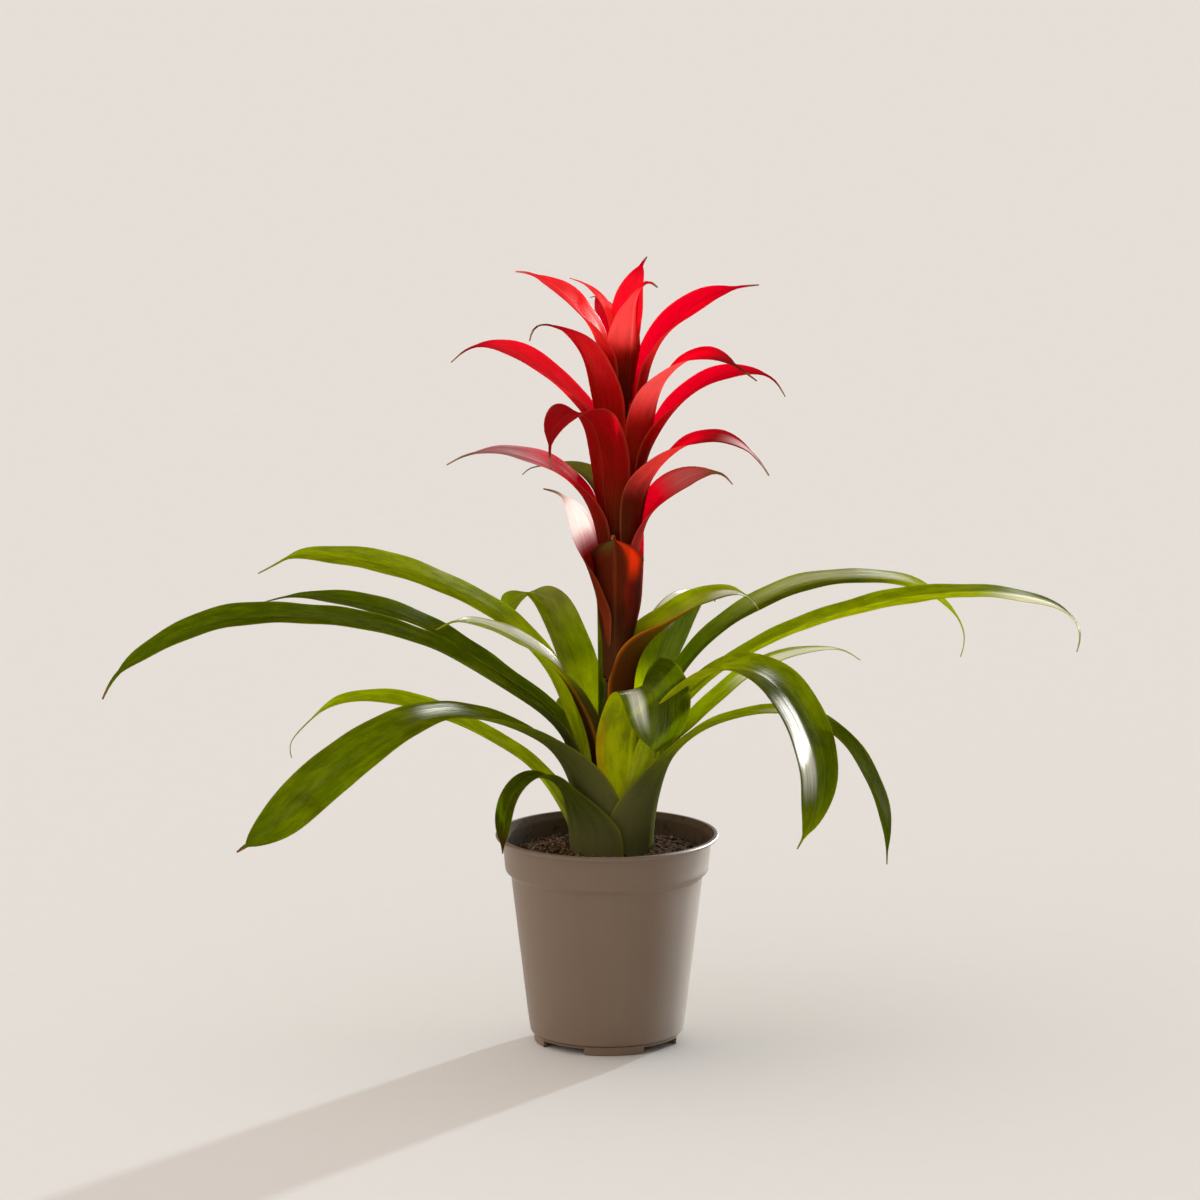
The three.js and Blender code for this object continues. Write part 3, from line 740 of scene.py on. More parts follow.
@dataclass(frozen=True)
class Blade:
    """One leaf or bract.

    The path is its midrib in the upright plane at the angle turn, as (out from the axis, height). Across, the blade is
    an arc that wraps the axis by plus and minus wrap degrees over the share hold of its length and becomes a shallow
    channel at the neck.
    """

    node: str
    turn: float
    path: Table
    wrap: float
    width: float
    hold: float = 0.0
    neck: float = 0.25
    cup: float = 42.0
    taper: float = 0.6
    fall: float = 2.6
    tail: float = 0.06
    tip: float = 2.4
    tip_cup: float = 16.0
    settled: float = 0.2
    roll: tuple[float, float, float] = (0.0, 0.0, 0.0)
    crease: float = 0.45
    crease_turn: float = 0.52
    crease_width: float = 0.1
    ripple: float = 0.45
    rib: float = 0.16
    rib_width: float = 0.05
    margin_bulge: float = 0.35
    station_crowding: float = 0.04
    blush: float = 0.0
    dry: float = 0.01
    thick: tuple[float, float] = (1.05, 0.4)

    @property
    def phase(self) -> float:
        """A number of this blade's own, from its name, that makes its markings differ."""
        return sum((i + 3) * ord(letter) for i, letter in enumerate(self.node)) * 0.137 % 40.0

    def midline(self) -> np.ndarray:
        """The midrib as close-set points.

        Returns:
            An array of points in millimetres, evenly spaced by length, the curve being rounded where its points meet.
        """
        outward = np.array([math.cos(math.radians(self.turn)), math.sin(math.radians(self.turn)), 0.0])
        given = [outward * out + np.array([axis_x(up), 0.0, up]) for out, up in self.path]
        given = [2 * given[0] - given[1], *given, 2 * given[-1] - given[-2]]
        points = []
        for p0, p1, p2, p3 in zip(given, given[1:], given[2:], given[3:]):
            d0, d1, d2 = (max(np.linalg.norm(b - a) ** 0.5, 1e-4) for a, b in ((p0, p1), (p1, p2), (p2, p3)))
            m1 = ((p1 - p0) / d0 - (p2 - p0) / (d0 + d1) + (p2 - p1) / d1) * d1
            m2 = ((p2 - p1) / d1 - (p3 - p1) / (d1 + d2) + (p3 - p2) / d2) * d1
            s = np.linspace(0.0, 1.0, SPAN_STEPS, endpoint=False)[:, None]
            curve = p1 + m1 * s + (3 * (p2 - p1) - 2 * m1 - m2) * s**2 + (2 * (p1 - p2) + m1 + m2) * s**3
            points.append(curve)
        line = self.evenly(np.concatenate([*points, given[-2][None]]), MIDRIB_POINTS)
        for _ in range(ROUNDINGS):
            line[1:-1] += 0.5 * (line[:-2] + line[2:] - 2 * line[1:-1])
        return self.evenly(line, MIDRIB_POINTS)

    @staticmethod
    def evenly(line: np.ndarray, count: int) -> np.ndarray:
        """Spaces a line's points evenly by length.

        Args:
            line: points.
            count: how many points to return.

        Returns:
            The new points.
        """
        length = np.concatenate([[0.0], np.cumsum(np.linalg.norm(np.diff(line, axis=0), axis=1))])
        at = np.linspace(0.0, length[-1], count)
        return np.stack([np.interp(at, length, line[:, k]) for k in range(3)], axis=1)

    def half_width(self, t: np.ndarray) -> np.ndarray:
        """Half of the width along the blade, in millimetres.

        Args:
            t: share of the length, from 0 at the base to 1 at the tip.

        Returns:
            The half width at every t.
        """
        sheath = 2.0 * self.path[0][0] * math.radians(self.wrap)
        wide = sheath + (self.width - sheath) * smoothstep(t, self.hold, self.neck)
        reach = np.clip((t - self.taper) / (1.0 - self.tail - self.taper), 0.0, 1.0)
        tail = self.tip * (1.0 - 0.6 * np.clip((t + self.tail - 1.0) / self.tail, 0.0, 1.0))
        return np.maximum(wide * (1.0 - reach**self.fall) ** 0.8, tail) / 2.0

    def rolled(self, t: np.ndarray) -> np.ndarray:
        """How far the blade is rolled about its midrib.

        Args:
            t: share of the length, from 0 at the base to 1 at the tip.

        Returns:
            The roll at every t, in radians, with a little stray of the blade's own.
        """
        first, second, last = self.roll
        table = [(0, 0), (self.settled, 0), (self.settled / 2 + 0.4, first), (0.75, second), (1, last)]
        stray = 2.0 * np.sin(t * 9.0 + self.phase) + 1.2 * np.sin(t * 21.0 + 2.0 * self.phase)
        return np.radians(along(table, t) + stray * smoothstep(t, 0.3, 0.6))

    def frame(self, line: np.ndarray, t: np.ndarray) -> tuple[np.ndarray, np.ndarray, np.ndarray]:
        """Where the stations of the blade stand and which way they look.

        Args:
            line: the midrib's points, evenly spaced.
            t: share of the length at each station.

        Returns:
            The stations' places, their sideways directions and the directions that their upper faces look, each an
            array of stations by 3.
        """
        at = np.linspace(0.0, 1.0, len(line))
        tangent = np.gradient(line, axis=0)
        middle = np.stack([np.interp(t, at, line[:, k]) for k in range(3)], axis=1)
        ahead = np.stack([np.interp(t, at, tangent[:, k]) for k in range(3)], axis=1)
        ahead /= np.linalg.norm(ahead, axis=1)[:, None]
        turn = math.radians(self.turn)
        sideways = np.array([-math.sin(turn), math.cos(turn), 0.0])
        side = sideways - (ahead @ sideways)[:, None] * ahead
        side /= np.linalg.norm(side, axis=1)[:, None]
        face = np.cross(ahead, side)
        roll = self.rolled(t)[:, None]
        return middle, side * np.cos(roll) + face * np.sin(roll), face * np.cos(roll) - side * np.sin(roll)

    def section(self, t: np.ndarray, half: np.ndarray) -> tuple[np.ndarray, np.ndarray, np.ndarray]:
        """Shape of the blade across, at every station.

        Args:
            t: share of the length.
            half: half widths.

        Returns:
            Sideways places, depths and slopes, each an array of stations by points across.
        """
        turns = [(0, self.wrap), (self.hold, self.wrap), (self.neck, self.cup)]
        arc = np.radians(along([*turns, (1 - self.tail, self.tip_cup), (1, self.tip_cup)], t))
        crease = self.crease * smoothstep(t, self.neck * 0.9, self.neck + 0.15) * (1.0 - smoothstep(t, 0.93, 1.0))
        u = np.linspace(0.0, 1.0, SECTION_POINTS)
        drawn = self.crease_turn * crease[:, None] * np.tanh(u / self.crease_width)
        slope = arc[:, None] * ((1.0 - crease[:, None]) * u + drawn)
        step = half[:, None] / (SECTION_POINTS - 1.0)
        side = np.concatenate([np.zeros((len(half), 1)), np.cumsum(np.cos(slope[:, :-1]) * step, axis=1)], axis=1)
        rise = np.concatenate([np.zeros((len(half), 1)), np.cumsum(np.sin(slope[:, :-1]) * step, axis=1)], axis=1)
        at = np.abs(ACROSS)
        read = [np.stack([np.interp(at, u, row) for row in grid]) for grid in (side, rise, slope)]
        return read[0] * np.sign(ACROSS), read[1], read[2] * np.sign(ACROSS)

    def waves(self, t: np.ndarray, half: np.ndarray, run: np.ndarray) -> np.ndarray:
        """Ripples of the two margins, which differ.

        Args:
            t: share of the length.
            half: half widths.
            run: lengths from the base, in millimetres.

        Returns:
            What they add to the depths, an array of stations by points across.
        """
        ripple = self.ripple * smoothstep(t, 0.25, 0.5) * np.minimum(half / 6.0, 1.0)
        left = np.sin(run / 6.3 + self.phase) * np.sin(run / 17.0 + 3.0 * self.phase)
        right = np.sin(run / 7.1 + 2.0 * self.phase) * np.sin(run / 15.0 + 5.0 * self.phase)
        waves = np.where(ACROSS < 0, left[:, None], right[:, None]) * np.abs(ACROSS) ** 3
        return waves * ripple[:, None]

    def build(self) -> bpy.types.Object:
        """Lofts the blade as one closed skin and keeps in it the numbers that its finish reads.

        Returns:
            The new piece.
        """
        line = self.midline()
        length = float(np.linalg.norm(np.diff(line, axis=0), axis=1).sum())
        stations = int(np.clip(length / STATION_STEP, FEWEST_STATIONS, MOST_STATIONS))
        t = np.linspace(0.0, 1.0, stations)
        t = t + self.station_crowding * np.sin(2.0 * np.pi * t) / np.pi
        middle, side, face = self.frame(line, t)
        half = self.half_width(t)
        across, depth, slope = self.section(t, half)
        depth = depth + self.waves(t, half, t * length)
        thick = self.thick[0] + (self.thick[1] - self.thick[0]) * t
        skin = thick[:, None] * (1.0 - 0.2 * ACROSS**2) * (1.0 - 0.55 * ACROSS**14) / 2.0
        ribbed = smoothstep(t, 0.12, 0.3) * (1 - smoothstep(t, 0.9, 1.0))
        rib = self.rib * np.exp(-((ACROSS / self.rib_width) ** 2)) * ribbed[:, None]

        def placed(out: np.ndarray, deep: np.ndarray) -> np.ndarray:
            """Points of the sections, from their sideways places and depths in millimetres."""
            return middle[:, None, :] + side[:, None, :] * out[..., None] + face[:, None, :] * deep[..., None]

        above = placed(across - np.sin(slope) * (skin - rib), depth + np.cos(slope) * (skin - rib))
        below = placed(across + np.sin(slope) * (skin + rib), depth - np.cos(slope) * (skin + rib))
        margins = [0, -1]
        bulge = self.margin_bulge * skin[:, margins]
        ends = placed(
            across[:, margins] + np.array([-1.0, 1.0]) * np.cos(slope[:, margins]) * bulge,
            depth[:, margins] + np.abs(np.sin(slope[:, margins])) * bulge,
        )
        rings = np.concatenate([above, ends[:, 1:], below[:, ::-1], ends[:, :1]], axis=1)
        piece = linked(self.node + "_blade", self.closed_skin(rings))
        ring_across = np.concatenate([ACROSS, [1.0], ACROSS[::-1], [-1.0]])
        ring_upper = np.concatenate([np.ones(len(ACROSS)), [0.5], np.zeros(len(ACROSS)), [0.5]])
        every = np.ones((stations, rings.shape[1]))
        self.keep_numbers(piece.data, t[:, None] * every, ring_across * every, ring_upper * every, length)
        return piece

    def keep_numbers(
        self, mesh: bpy.types.Mesh, reach: np.ndarray, across: np.ndarray, upper: np.ndarray, length: float
    ) -> None:
        """Stores what the finish reads at every vertex.

        Args:
            mesh: the blade's mesh.
            reach: share of the length.
            across: -1 to 1 from one margin to the other.
            upper: 1 on the face towards the plant's axis and 0 on the other.
            length: the blade's length in millimetres.
        """
        every = np.ones(reach.shape)
        stored(mesh, "reach", reach)
        stored(mesh, "across", across)
        stored(mesh, "upper", upper)
        stored(mesh, "run", reach * length / 10.0)
        stored(mesh, "seed", every * self.phase)
        stored(mesh, "ribs", every * round(self.width / 1.5))
        near = 1.0 - smoothstep(reach, 0.25, 0.75)
        marks = {tone: 0.0 * every for tone in Tone}
        marks[Tone.BLUSH] = self.blush * (near * (0.55 + 0.45 * np.abs(across) ** 2))
        for mark in MARKS.get(self.node, ()):
            marks[mark.tone] = np.maximum(marks[mark.tone], mark.over(reach, across, upper))
        for tone, share in marks.items():
            stored(mesh, tone.value, share)
        ragged = 1.0 + 0.35 * np.abs(across) ** 2
        stored(mesh, "dry", smoothstep(reach, 1.0 - 3.0 * self.dry, 1.0) * ragged)

    @staticmethod
    def closed_skin(rings: np.ndarray) -> bpy.types.Mesh:
        """Joins rings of points into one closed skin with a cap at each end.

        Args:
            rings: stations by ring points by 3, in millimetres. The first half of a ring is the upper face.

        Returns:
            The mesh in metres, with its skin unrolled in its one map.
        """
        stations, around = rings.shape[:2]
        row = len(ACROSS)
        faces, map_points = [], []
        places = np.linspace(0.0, 1.0, around + 1)
        heights = MAP_MARGIN + (1.0 - 2.0 * MAP_MARGIN) * np.linspace(0.0, 1.0, stations)
        for i in range(stations - 1):
            a, b = i * around, (i + 1) * around
            for k in range(around):
                n = (k + 1) % around
                faces.append((a + k, b + k, b + n, a + n))
                map_points += [
                    (places[k], heights[i]), (places[k], heights[i + 1]),
                    (places[k + 1], heights[i + 1]), (places[k + 1], heights[i]),
                ]
        caps = [(j, j + 1, 2 * row - 1 - j, 2 * row - j) for j in range(row - 1)]
        caps += [(row - 1, row, row + 1), (2 * row, 2 * row + 1, 0)]
        for start, low, order in ((0, MAP_BASE_CAP, 1), ((stations - 1) * around, MAP_TIP_CAP, -1)):
            for cap in (corners[::order] for corners in caps):
                faces.append(tuple(start + v for v in cap))
                map_points += [(v / around, low + (MAP_CAP_WIDTH if v < row else 0.0)) for v in cap]
        mesh = bpy.data.meshes.new("blade_skin")
        mesh.from_pydata((rings.reshape(-1, 3) * MM).tolist(), [], faces)
        layer = mesh.uv_layers.new(name="OFBake")
        layer.data.foreach_set("uv", np.array(map_points, dtype=np.float32).ravel())
        return mesh


@dataclass(frozen=True)
class Bract(Blade):
    """A blade of the spike: it tapers over most of its length to a thin tip."""

    neck: float = 0.4
    cup: float = 52.0
    taper: float = 0.3
    fall: float = 1.7
    tail: float = 0.1
    tip: float = 2.2
    settled: float = 0.35
    dry: float = 0.03


LEAVES = (
    Blade(
        "leaf_right_inner", 350,
        ((8.4, BASE), (8.5, 140), (8.7, 178), (9.2, 202), (14.5, 217), (29, 232), (46, 244), (61, 249), (71, 246),
         (76, 239)),
        116, 28, hold=0.56, neck=0.7, cup=60, fall=2.2, settled=0.5, roll=(14, 22, 25), blush=1.0,
    ),
    Blade(
        "leaf_left_inner", 205,
        ((10, BASE), (10.5, 130), (13, 155), (17, 172), (24, 188), (33, 203), (46, 216), (63, 227), (82, 236),
         (96, 239), (107, 235)),
        70, 25, hold=0.25, neck=0.5, taper=0.58, fall=2.4, settled=0.4, roll=(-12, -22, -10), blush=0.8,
    ),
    Blade(
        "leaf_front_inner", 305,
        ((10.2, BASE), (11, 130), (12.5, 155), (15, 178), (19, 194), (26, 201), (33, 198), (37, 188), (38, 175),
         (36, 162)),
        58, 39, hold=0.1, neck=0.42, cup=66, taper=0.74, fall=2.4, tail=0.03, settled=0.4, roll=(20, 28, 26),
    ),
    Blade(
        "leaf_right_broad", 55,
        ((10.2, BASE), (11, 130), (16, 156), (25, 183), (36, 201), (48, 217), (60, 228), (72, 233), (84, 232),
         (92, 226)),
        55, 28, neck=0.35, cup=50, taper=0.65, fall=2.4, settled=0.4, roll=(10, 10, 10),
    ),
    Blade(
        "leaf_back_left", 127,
        ((12.1, BASE), (13.5, 130), (18, 156), (26, 180), (37, 200), (46, 213), (55, 224), (65, 232), (77, 234),
         (89, 230), (98, 222), (94, 212)),
        55, 25, neck=0.3, cup=45, taper=0.8, fall=2.4, tail=0.03, settled=0.4,
    ),
    Blade(
        "leaf_right_high", 10,
        ((12.1, BASE), (13, 130), (17, 158), (24, 180), (34, 200), (52, 221), (75, 236), (99, 246), (123, 249),
         (148, 248), (164, 244), (179, 234), (187, 225), (191, 213), (188, 204)),
        55, 21, taper=0.55, tail=0.07, roll=(12, 16, 30),
    ),
    Blade(
        "leaf_left_high", 165,
        ((14, BASE), (14.5, 130), (19, 156), (27, 178), (38, 202), (53, 219), (66, 229), (83, 238), (105, 247),
         (135, 255), (164, 258), (184, 257), (191, 252), (202, 246)),
        55, 22, taper=0.65, fall=3.2, roll=(-10, -22, -28),
    ),
    Blade(
        "leaf_back_upright", 92,
        ((14, BASE), (15, 130), (20, 160), (29, 190), (41, 212), (56, 227), (76, 236), (98, 236), (122, 226),
         (144, 206), (158, 182)),
        36, 20, neck=0.3, taper=0.62,
    ),
    Blade(
        "leaf_right_long", 354,
        ((14, BASE), (14.5, 130), (18, 152), (28, 174), (44, 194), (59, 207), (75, 217), (98, 229), (121, 237),
         (145, 244), (168, 248), (200, 250), (227, 246), (241, 241), (249, 229), (246, 219)),
        60, 22, neck=0.2, taper=0.55, roll=(12, 14, 25),
    ),
    Blade(
        "leaf_left_behind", 172,
        ((15.9, BASE), (16, 125), (19, 145), (25, 166), (39, 182), (53, 192), (81, 211), (102, 224), (131, 234),
         (160, 239), (179, 239), (194, 235)),
        50, 21, neck=0.22, taper=0.65, fall=3, tail=0.05, roll=(-8, -12, -12),
    ),
    Blade(
        "leaf_back_right", 80,
        ((15.9, BASE), (17, 125), (21, 145), (30, 164), (44, 177), (62, 183), (82, 182), (104, 172), (126, 152),
         (142, 128)),
        45, 23, taper=0.7, tail=0.04,
    ),
    Blade(
        "leaf_right_arching", 332,
        ((15.9, BASE), (16, 125), (19.5, 145), (25.5, 166), (34, 185), (46, 200), (59, 209), (73, 212), (87.5, 209),
         (99.5, 201.5), (110, 187.5), (118, 170), (120.5, 152), (118, 134), (110, 117)),
        50, 33, taper=0.74, tail=0.03, roll=(8, 14, 14),
    ),
    Blade(
        "leaf_left_long", 190,
        ((17.8, BASE), (18.5, 125), (21, 145), (28, 167), (40, 181), (54, 191), (80, 208), (102, 221), (137, 233),
         (166, 238), (194, 240), (222, 237), (247, 227), (264, 217), (273, 209), (278, 198)),
        50, 24, neck=0.2, taper=0.68, fall=3.2, tail=0.04, tip=4, roll=(-12, -20, -20),
    ),
    Blade(
        "leaf_right_short", 20,
        ((17.8, BASE), (18.5, 125), (22, 145), (30, 160), (42, 170), (53, 180), (67, 191), (79, 199), (97, 205),
         (118, 207), (131, 205), (140, 199)),
        50, 16, neck=0.28, taper=0.5, fall=2.4, roll=(8, 10, 15),
    ),
    Blade(
        "leaf_left_broad", 210,
        ((18.8, BASE), (20, 122), (24, 139), (31, 154), (43, 167), (64, 179), (87, 187), (108, 190), (128, 187),
         (150, 179), (180, 162), (206, 143), (230, 130)),
        78, 27, hold=0.1, neck=0.27, taper=0.8, fall=2.4, tail=0.02, roll=(-10, -45, -45),
    ),
    Blade(
        "leaf_right_low", 343,
        ((20.4, BASE), (21.2, 122), (24.5, 140), (30, 156), (38, 166), (50, 175), (67, 182), (86, 186), (105, 185),
         (122, 177), (135, 164), (145, 146), (151, 127), (152, 107)),
        86, 20, hold=0.08, neck=0.28, cup=40, taper=0.78, fall=3, tail=0.03, roll=(0, 5, 5),
    ),
    Blade(
        "leaf_back_low", 102,
        ((19.7, BASE), (21, 122), (26, 140), (37, 156), (54, 167), (74, 171), (96, 166), (116, 152), (132, 131)),
        48, 24, taper=0.7, tail=0.04,
    ),
    Blade(
        "leaf_left_low", 165,
        ((21.6, BASE), (24, 116), (31, 129), (39, 140), (49, 150), (66, 160), (85, 169), (115, 179), (136, 181),
         (158, 177), (168, 170), (178, 160), (184, 152), (182, 145)),
        48, 18, cup=40, fall=3, tail=0.12, roll=(-8, -14, -10),
    ),
    Blade(
        "leaf_left_rim", 217,
        ((23.5, BASE), (25, 118), (29, 132), (35, 142), (43, 149), (52, 152), (62, 150), (70, 143), (74, 131),
         (75, 113)),
        66, 16, hold=0.1, neck=0.4, cup=40, taper=0.7, fall=2.8, tail=0.03,
    ),
)

BRACTS = (
    Bract(
        "bract_20", 312,
        ((4.5, 350), (5, 362), (5.5, 374), (6.5, 390), (8, 404), (13, 413), (20, 417), (26, 415)),
        62, 28, taper=0.5, roll=(15, 25, 25),
    ),
    Bract(
        "bract_19", 65,
        ((4.2, 364), (5.5, 380), (6.5, 394), (9, 406), (14, 414), (22, 421), (28, 424)),
        50, 21, taper=0.4,
    ),
    Bract(
        "bract_18", 160,
        ((4.2, 360), (5, 374), (7, 388), (10, 398), (15, 406), (22, 412), (31, 415)),
        45, 17,
    ),
    Bract(
        "bract_17", 190,
        ((4.9, 340), (7.5, 358), (11.5, 374), (16.5, 388), (23.5, 399), (32, 409), (42, 416), (52, 421), (59, 422)),
        55, 30, roll=(-22, -38, -35),
    ),
    Bract(
        "bract_16", 5,
        ((5.2, 328), (9, 346), (12.5, 360), (14.5, 369), (18.5, 380), (26, 391), (35.5, 400), (47, 407), (61, 411),
         (72, 412)),
        60, 31, roll=(18, 32, 30),
    ),
    Bract(
        "bract_15", 108,
        ((5.4, 322), (9, 342), (13, 358), (18, 374), (25, 386), (34, 395), (46, 399), (58, 397)),
        50, 26,
    ),
    Bract(
        "bract_14", 220,
        ((5.7, 305), (9.5, 322), (13, 340), (16, 352), (20, 366), (26.5, 379), (35, 389), (46, 395), (57, 398),
         (63, 396), (65, 390)),
        60, 30, taper=0.4,
    ),
    Bract(
        "bract_13", 176,
        ((6, 295), (9.5, 310), (13, 326), (19, 341), (27, 351), (37, 361), (48, 370.5), (60, 377), (73, 380),
         (84, 377), (92, 370)),
        58, 28, roll=(-14, -28, -24),
    ),
    Bract(
        "bract_12", 325,
        ((6, 292), (10, 307), (13, 321), (16.5, 337), (20.5, 352), (28, 365), (38, 374.5), (50, 380), (63, 380),
         (76, 375), (86, 370)),
        58, 30, taper=0.35, roll=(12, 22, 18),
    ),
    Bract(
        "bract_11", 355,
        ((6.1, 282), (9, 295), (11.5, 308), (14, 321), (20, 334), (28, 346), (37.5, 356), (48, 363), (60, 367),
         (72, 367), (81, 363), (87, 354)),
        50, 28, roll=(14, 26, 22),
    ),
    Bract(
        "bract_10", 84,
        ((6.1, 282), (9, 296), (12, 312), (15, 328), (21, 343), (30, 354), (42, 361), (55, 363), (68, 358)),
        36, 27,
    ),
    Bract(
        "bract_09", 228,
        ((6.1, 265), (9.5, 283), (12.5, 298), (15.5, 318), (19.5, 334), (27, 345), (36, 349), (46, 348), (54, 343),
         (57, 334), (56, 321)),
        62, 32, taper=0.6,
    ),
    Bract(
        "bract_08", 140,
        ((6.1, 250), (7.8, 268), (9.6, 285), (13, 298), (20, 305), (29, 309), (40, 311), (53, 309), (64, 306),
         (69, 302)),
        48, 24,
    ),
    Bract(
        "bract_07", 328,
        ((6.1, 245), (8.8, 268), (11.5, 288), (15, 304), (21.5, 314), (30, 323), (39.5, 330), (49.5, 334), (62, 336),
         (76, 333), (86, 326), (92, 319)),
        52, 29, roll=(12, 20, 16), blush=0.5,
    ),
    Bract(
        "bract_06", 90,
        ((6.1, 240), (7.8, 254), (9.7, 270), (13, 286), (20, 299), (31, 309), (45, 315), (59, 315), (70, 309)),
        38, 26,
    ),
    Bract(
        "bract_05", 5,
        ((6.1, 235), (8.6, 256), (11, 274), (14.5, 287), (22, 297.5), (31, 305.5), (41, 310), (54, 310), (60, 304)),
        48, 31, roll=(20, 36, 30), blush=0.5,
    ),
    Bract(
        "bract_04", 188,
        ((6.1, 232), (8.2, 252), (11.5, 274), (14.5, 287), (19.5, 298), (26, 306), (37.5, 315), (51, 321), (67, 325),
         (84, 323), (94, 318)),
        58, 28, roll=(-12, -22, -20), blush=0.3,
    ),
    Bract(
        "bract_03", 78,
        ((7.5, 205), (8.5, 225), (10.5, 243), (15, 259), (23, 272), (34, 281), (46, 284), (57, 280)),
        42, 27, blush=0.7,
    ),
    Bract(
        "bract_02", 190,
        ((7.4, 200), (8.4, 220), (11, 240), (16, 259), (21, 276), (26, 291), (33, 301), (42, 304)),
        42, 29, neck=0.5, taper=0.58, settled=0.3, roll=(-30, -50, -40), blush=0.9,
    ),
    Bract(
        "bract_01", 260,
        ((7.4, 198), (8.4, 217), (10.2, 236), (12.6, 252), (14.6, 266), (17.5, 277), (21.5, 282), (25.5, 280)),
        48, 36, neck=0.7, cup=80, taper=0.72, blush=1.2,
    ),
)


class Whorl(Enum):
    """The two sets of blades, by the material slot of their solids."""

    LEAVES = "leaf"
    BRACTS = "bract"


@dataclass(frozen=True)
class Crown:
    """A whorl of blades of one kind: the rosette of leaves, or the spike of bracts."""

    whorl: Whorl
    blades: tuple[Blade, ...]
    finish: BladeFinish

    def build(self) -> list[bpy.types.Object]:
        """Builds, dresses and places every blade.

        Returns:
            The new pieces.
        """
        skin = self.finish.build()
        pieces = []
        for blade in self.blades:
            piece = blade.build()
            piece.data.materials.append(skin)
            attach(piece, "root")
            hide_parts(blade.node)
            pieces.append(piece)
        return pieces


def turned(profile: np.ndarray, angles: np.ndarray, shape: Callable[[float, float, float], Vector]) -> bpy.types.Mesh:
    """Turns a closed profile round the upright axis.

    Args:
        profile: (radius, height) points in millimetres, from the axis outwards and back to the axis.
        angles: the angles of the steps, in radians, without the closing one.
        shape: gives the point for a radius, a height and an angle.

    Returns:
        A closed mesh in metres.
    """
    steps = len(angles)
    points = [shape(0.0, float(profile[0][1]), 0.0)]
    for radius, height in profile[1:-1]:
        points += [shape(float(radius), float(height), float(angle)) for angle in angles]
    points.append(shape(0.0, float(profile[-1][1]), 0.0))
    faces = [(0, 1 + (k + 1) % steps, 1 + k) for k in range(steps)]
    rows = len(profile) - 2
    for i in range(rows - 1):
        a, b = 1 + i * steps, 1 + (i + 1) * steps
        faces += [(a + k, a + (k + 1) % steps, b + (k + 1) % steps, b + k) for k in range(steps)]
    last, end = 1 + (rows - 1) * steps, len(points) - 1
    faces += [(last + k, last + (k + 1) % steps, end) for k in range(steps)]
    mesh = bpy.data.meshes.new("turned")
    mesh.from_pydata([point * MM for point in points], [], faces)
    return mesh


def softened(profile: Table, radius: float, steps: int = 3, most: float = 0.42) -> np.ndarray:
    """Rounds the corners of a profile.

    Args:
        profile: (radius, height) points; the first and last keep their place.
        radius: how far from a corner its rounding starts, at most.
        steps: how many pieces make a rounding.
        most: share of a side that one rounding may take.

    Returns:
        The rounded profile.
    """
    points = np.array(profile, dtype=float)
    result = [points[0]]
    for before, corner, after in zip(points, points[1:], points[2:]):
        back, on = before - corner, after - corner
        reach = min(radius, most * np.linalg.norm(back), most * np.linalg.norm(on))
        start = corner + back / np.linalg.norm(back) * reach
        stop = corner + on / np.linalg.norm(on) * reach
        for k in range(steps + 1):
            s = k / steps
            result.append((1 - s) ** 2 * start + 2 * s * (1 - s) * corner + s**2 * stop)
    result.append(points[-1])
    return np.array(result)


@dataclass(frozen=True)
class PotFinish:
    """Satin moulded plastic: faint flow marks, rubbed edges, and painted shade over dirt and splashes inside the rim.
    """

    name: str = "taupe_moulded_plastic"
    body: Colour = (0.195, 0.134, 0.09)
    paler: Colour = (0.235, 0.167, 0.118)
    # Colour inside the rim: painted shade, with dirt.
    dust_and_shade: Colour = (0.06, 0.036, 0.022)
    roughness: float = 0.45
    sheen: float = 0.42
    lip: tuple[float, float] = (0.1115, 0.1138)
    foot: tuple[float, float] = (0.001, 0.012)

    def build(self) -> bpy.types.Material:
        """Makes the material.

        Returns:
            The material, which reads where the mesh says that the inside is.
        """
        paint = Paint(self.name)
        place = paint.place()
        x, y, z = paint.parts(place)
        soft = paint.cloud(place, 14.0, 3.0)
        fine = paint.cloud(place, 900.0)
        drawn = paint.cloud(paint.vector(x * 160.0, y * 160.0, z * 9.0), 1.0)
        inside = paint.stored("inside")
        lip = z.rise(*self.lip)
        foot = 1.0 - z.rise(*self.foot)
        splash = paint.cloud(place, 130.0, 4.0, 0.7).rise(0.52, 0.68)
        colour = paint.mix((soft * 0.5 + drawn * 0.3).held(), self.body, self.paler)
        colour = paint.mix(((lip + foot * 0.5) * fine * 0.35).held(), colour, self.paler)
        # Inside the rim the plastic is painted much darker: painted shade, with dirt and splashes.
        colour = paint.mix((inside * (0.6 + splash * 0.4)).held(), colour, self.dust_and_shade)
        plastic = paint.surface(
            {
                "Base Color": colour,
                "Roughness": (self.roughness + soft * 0.08 + inside * 0.45 + foot * 0.12).held(),
                "Normal": paint.bump(fine * 0.5 + drawn * 0.5, 0.00005, 0.5),
                "Specular IOR Level": 0.05,
                "Coat Weight": (0.8 - inside).held(),
                "Coat Roughness": self.sheen,
                "Coat IOR": 1.5,
            }
        )
        return paint.shown(plastic)


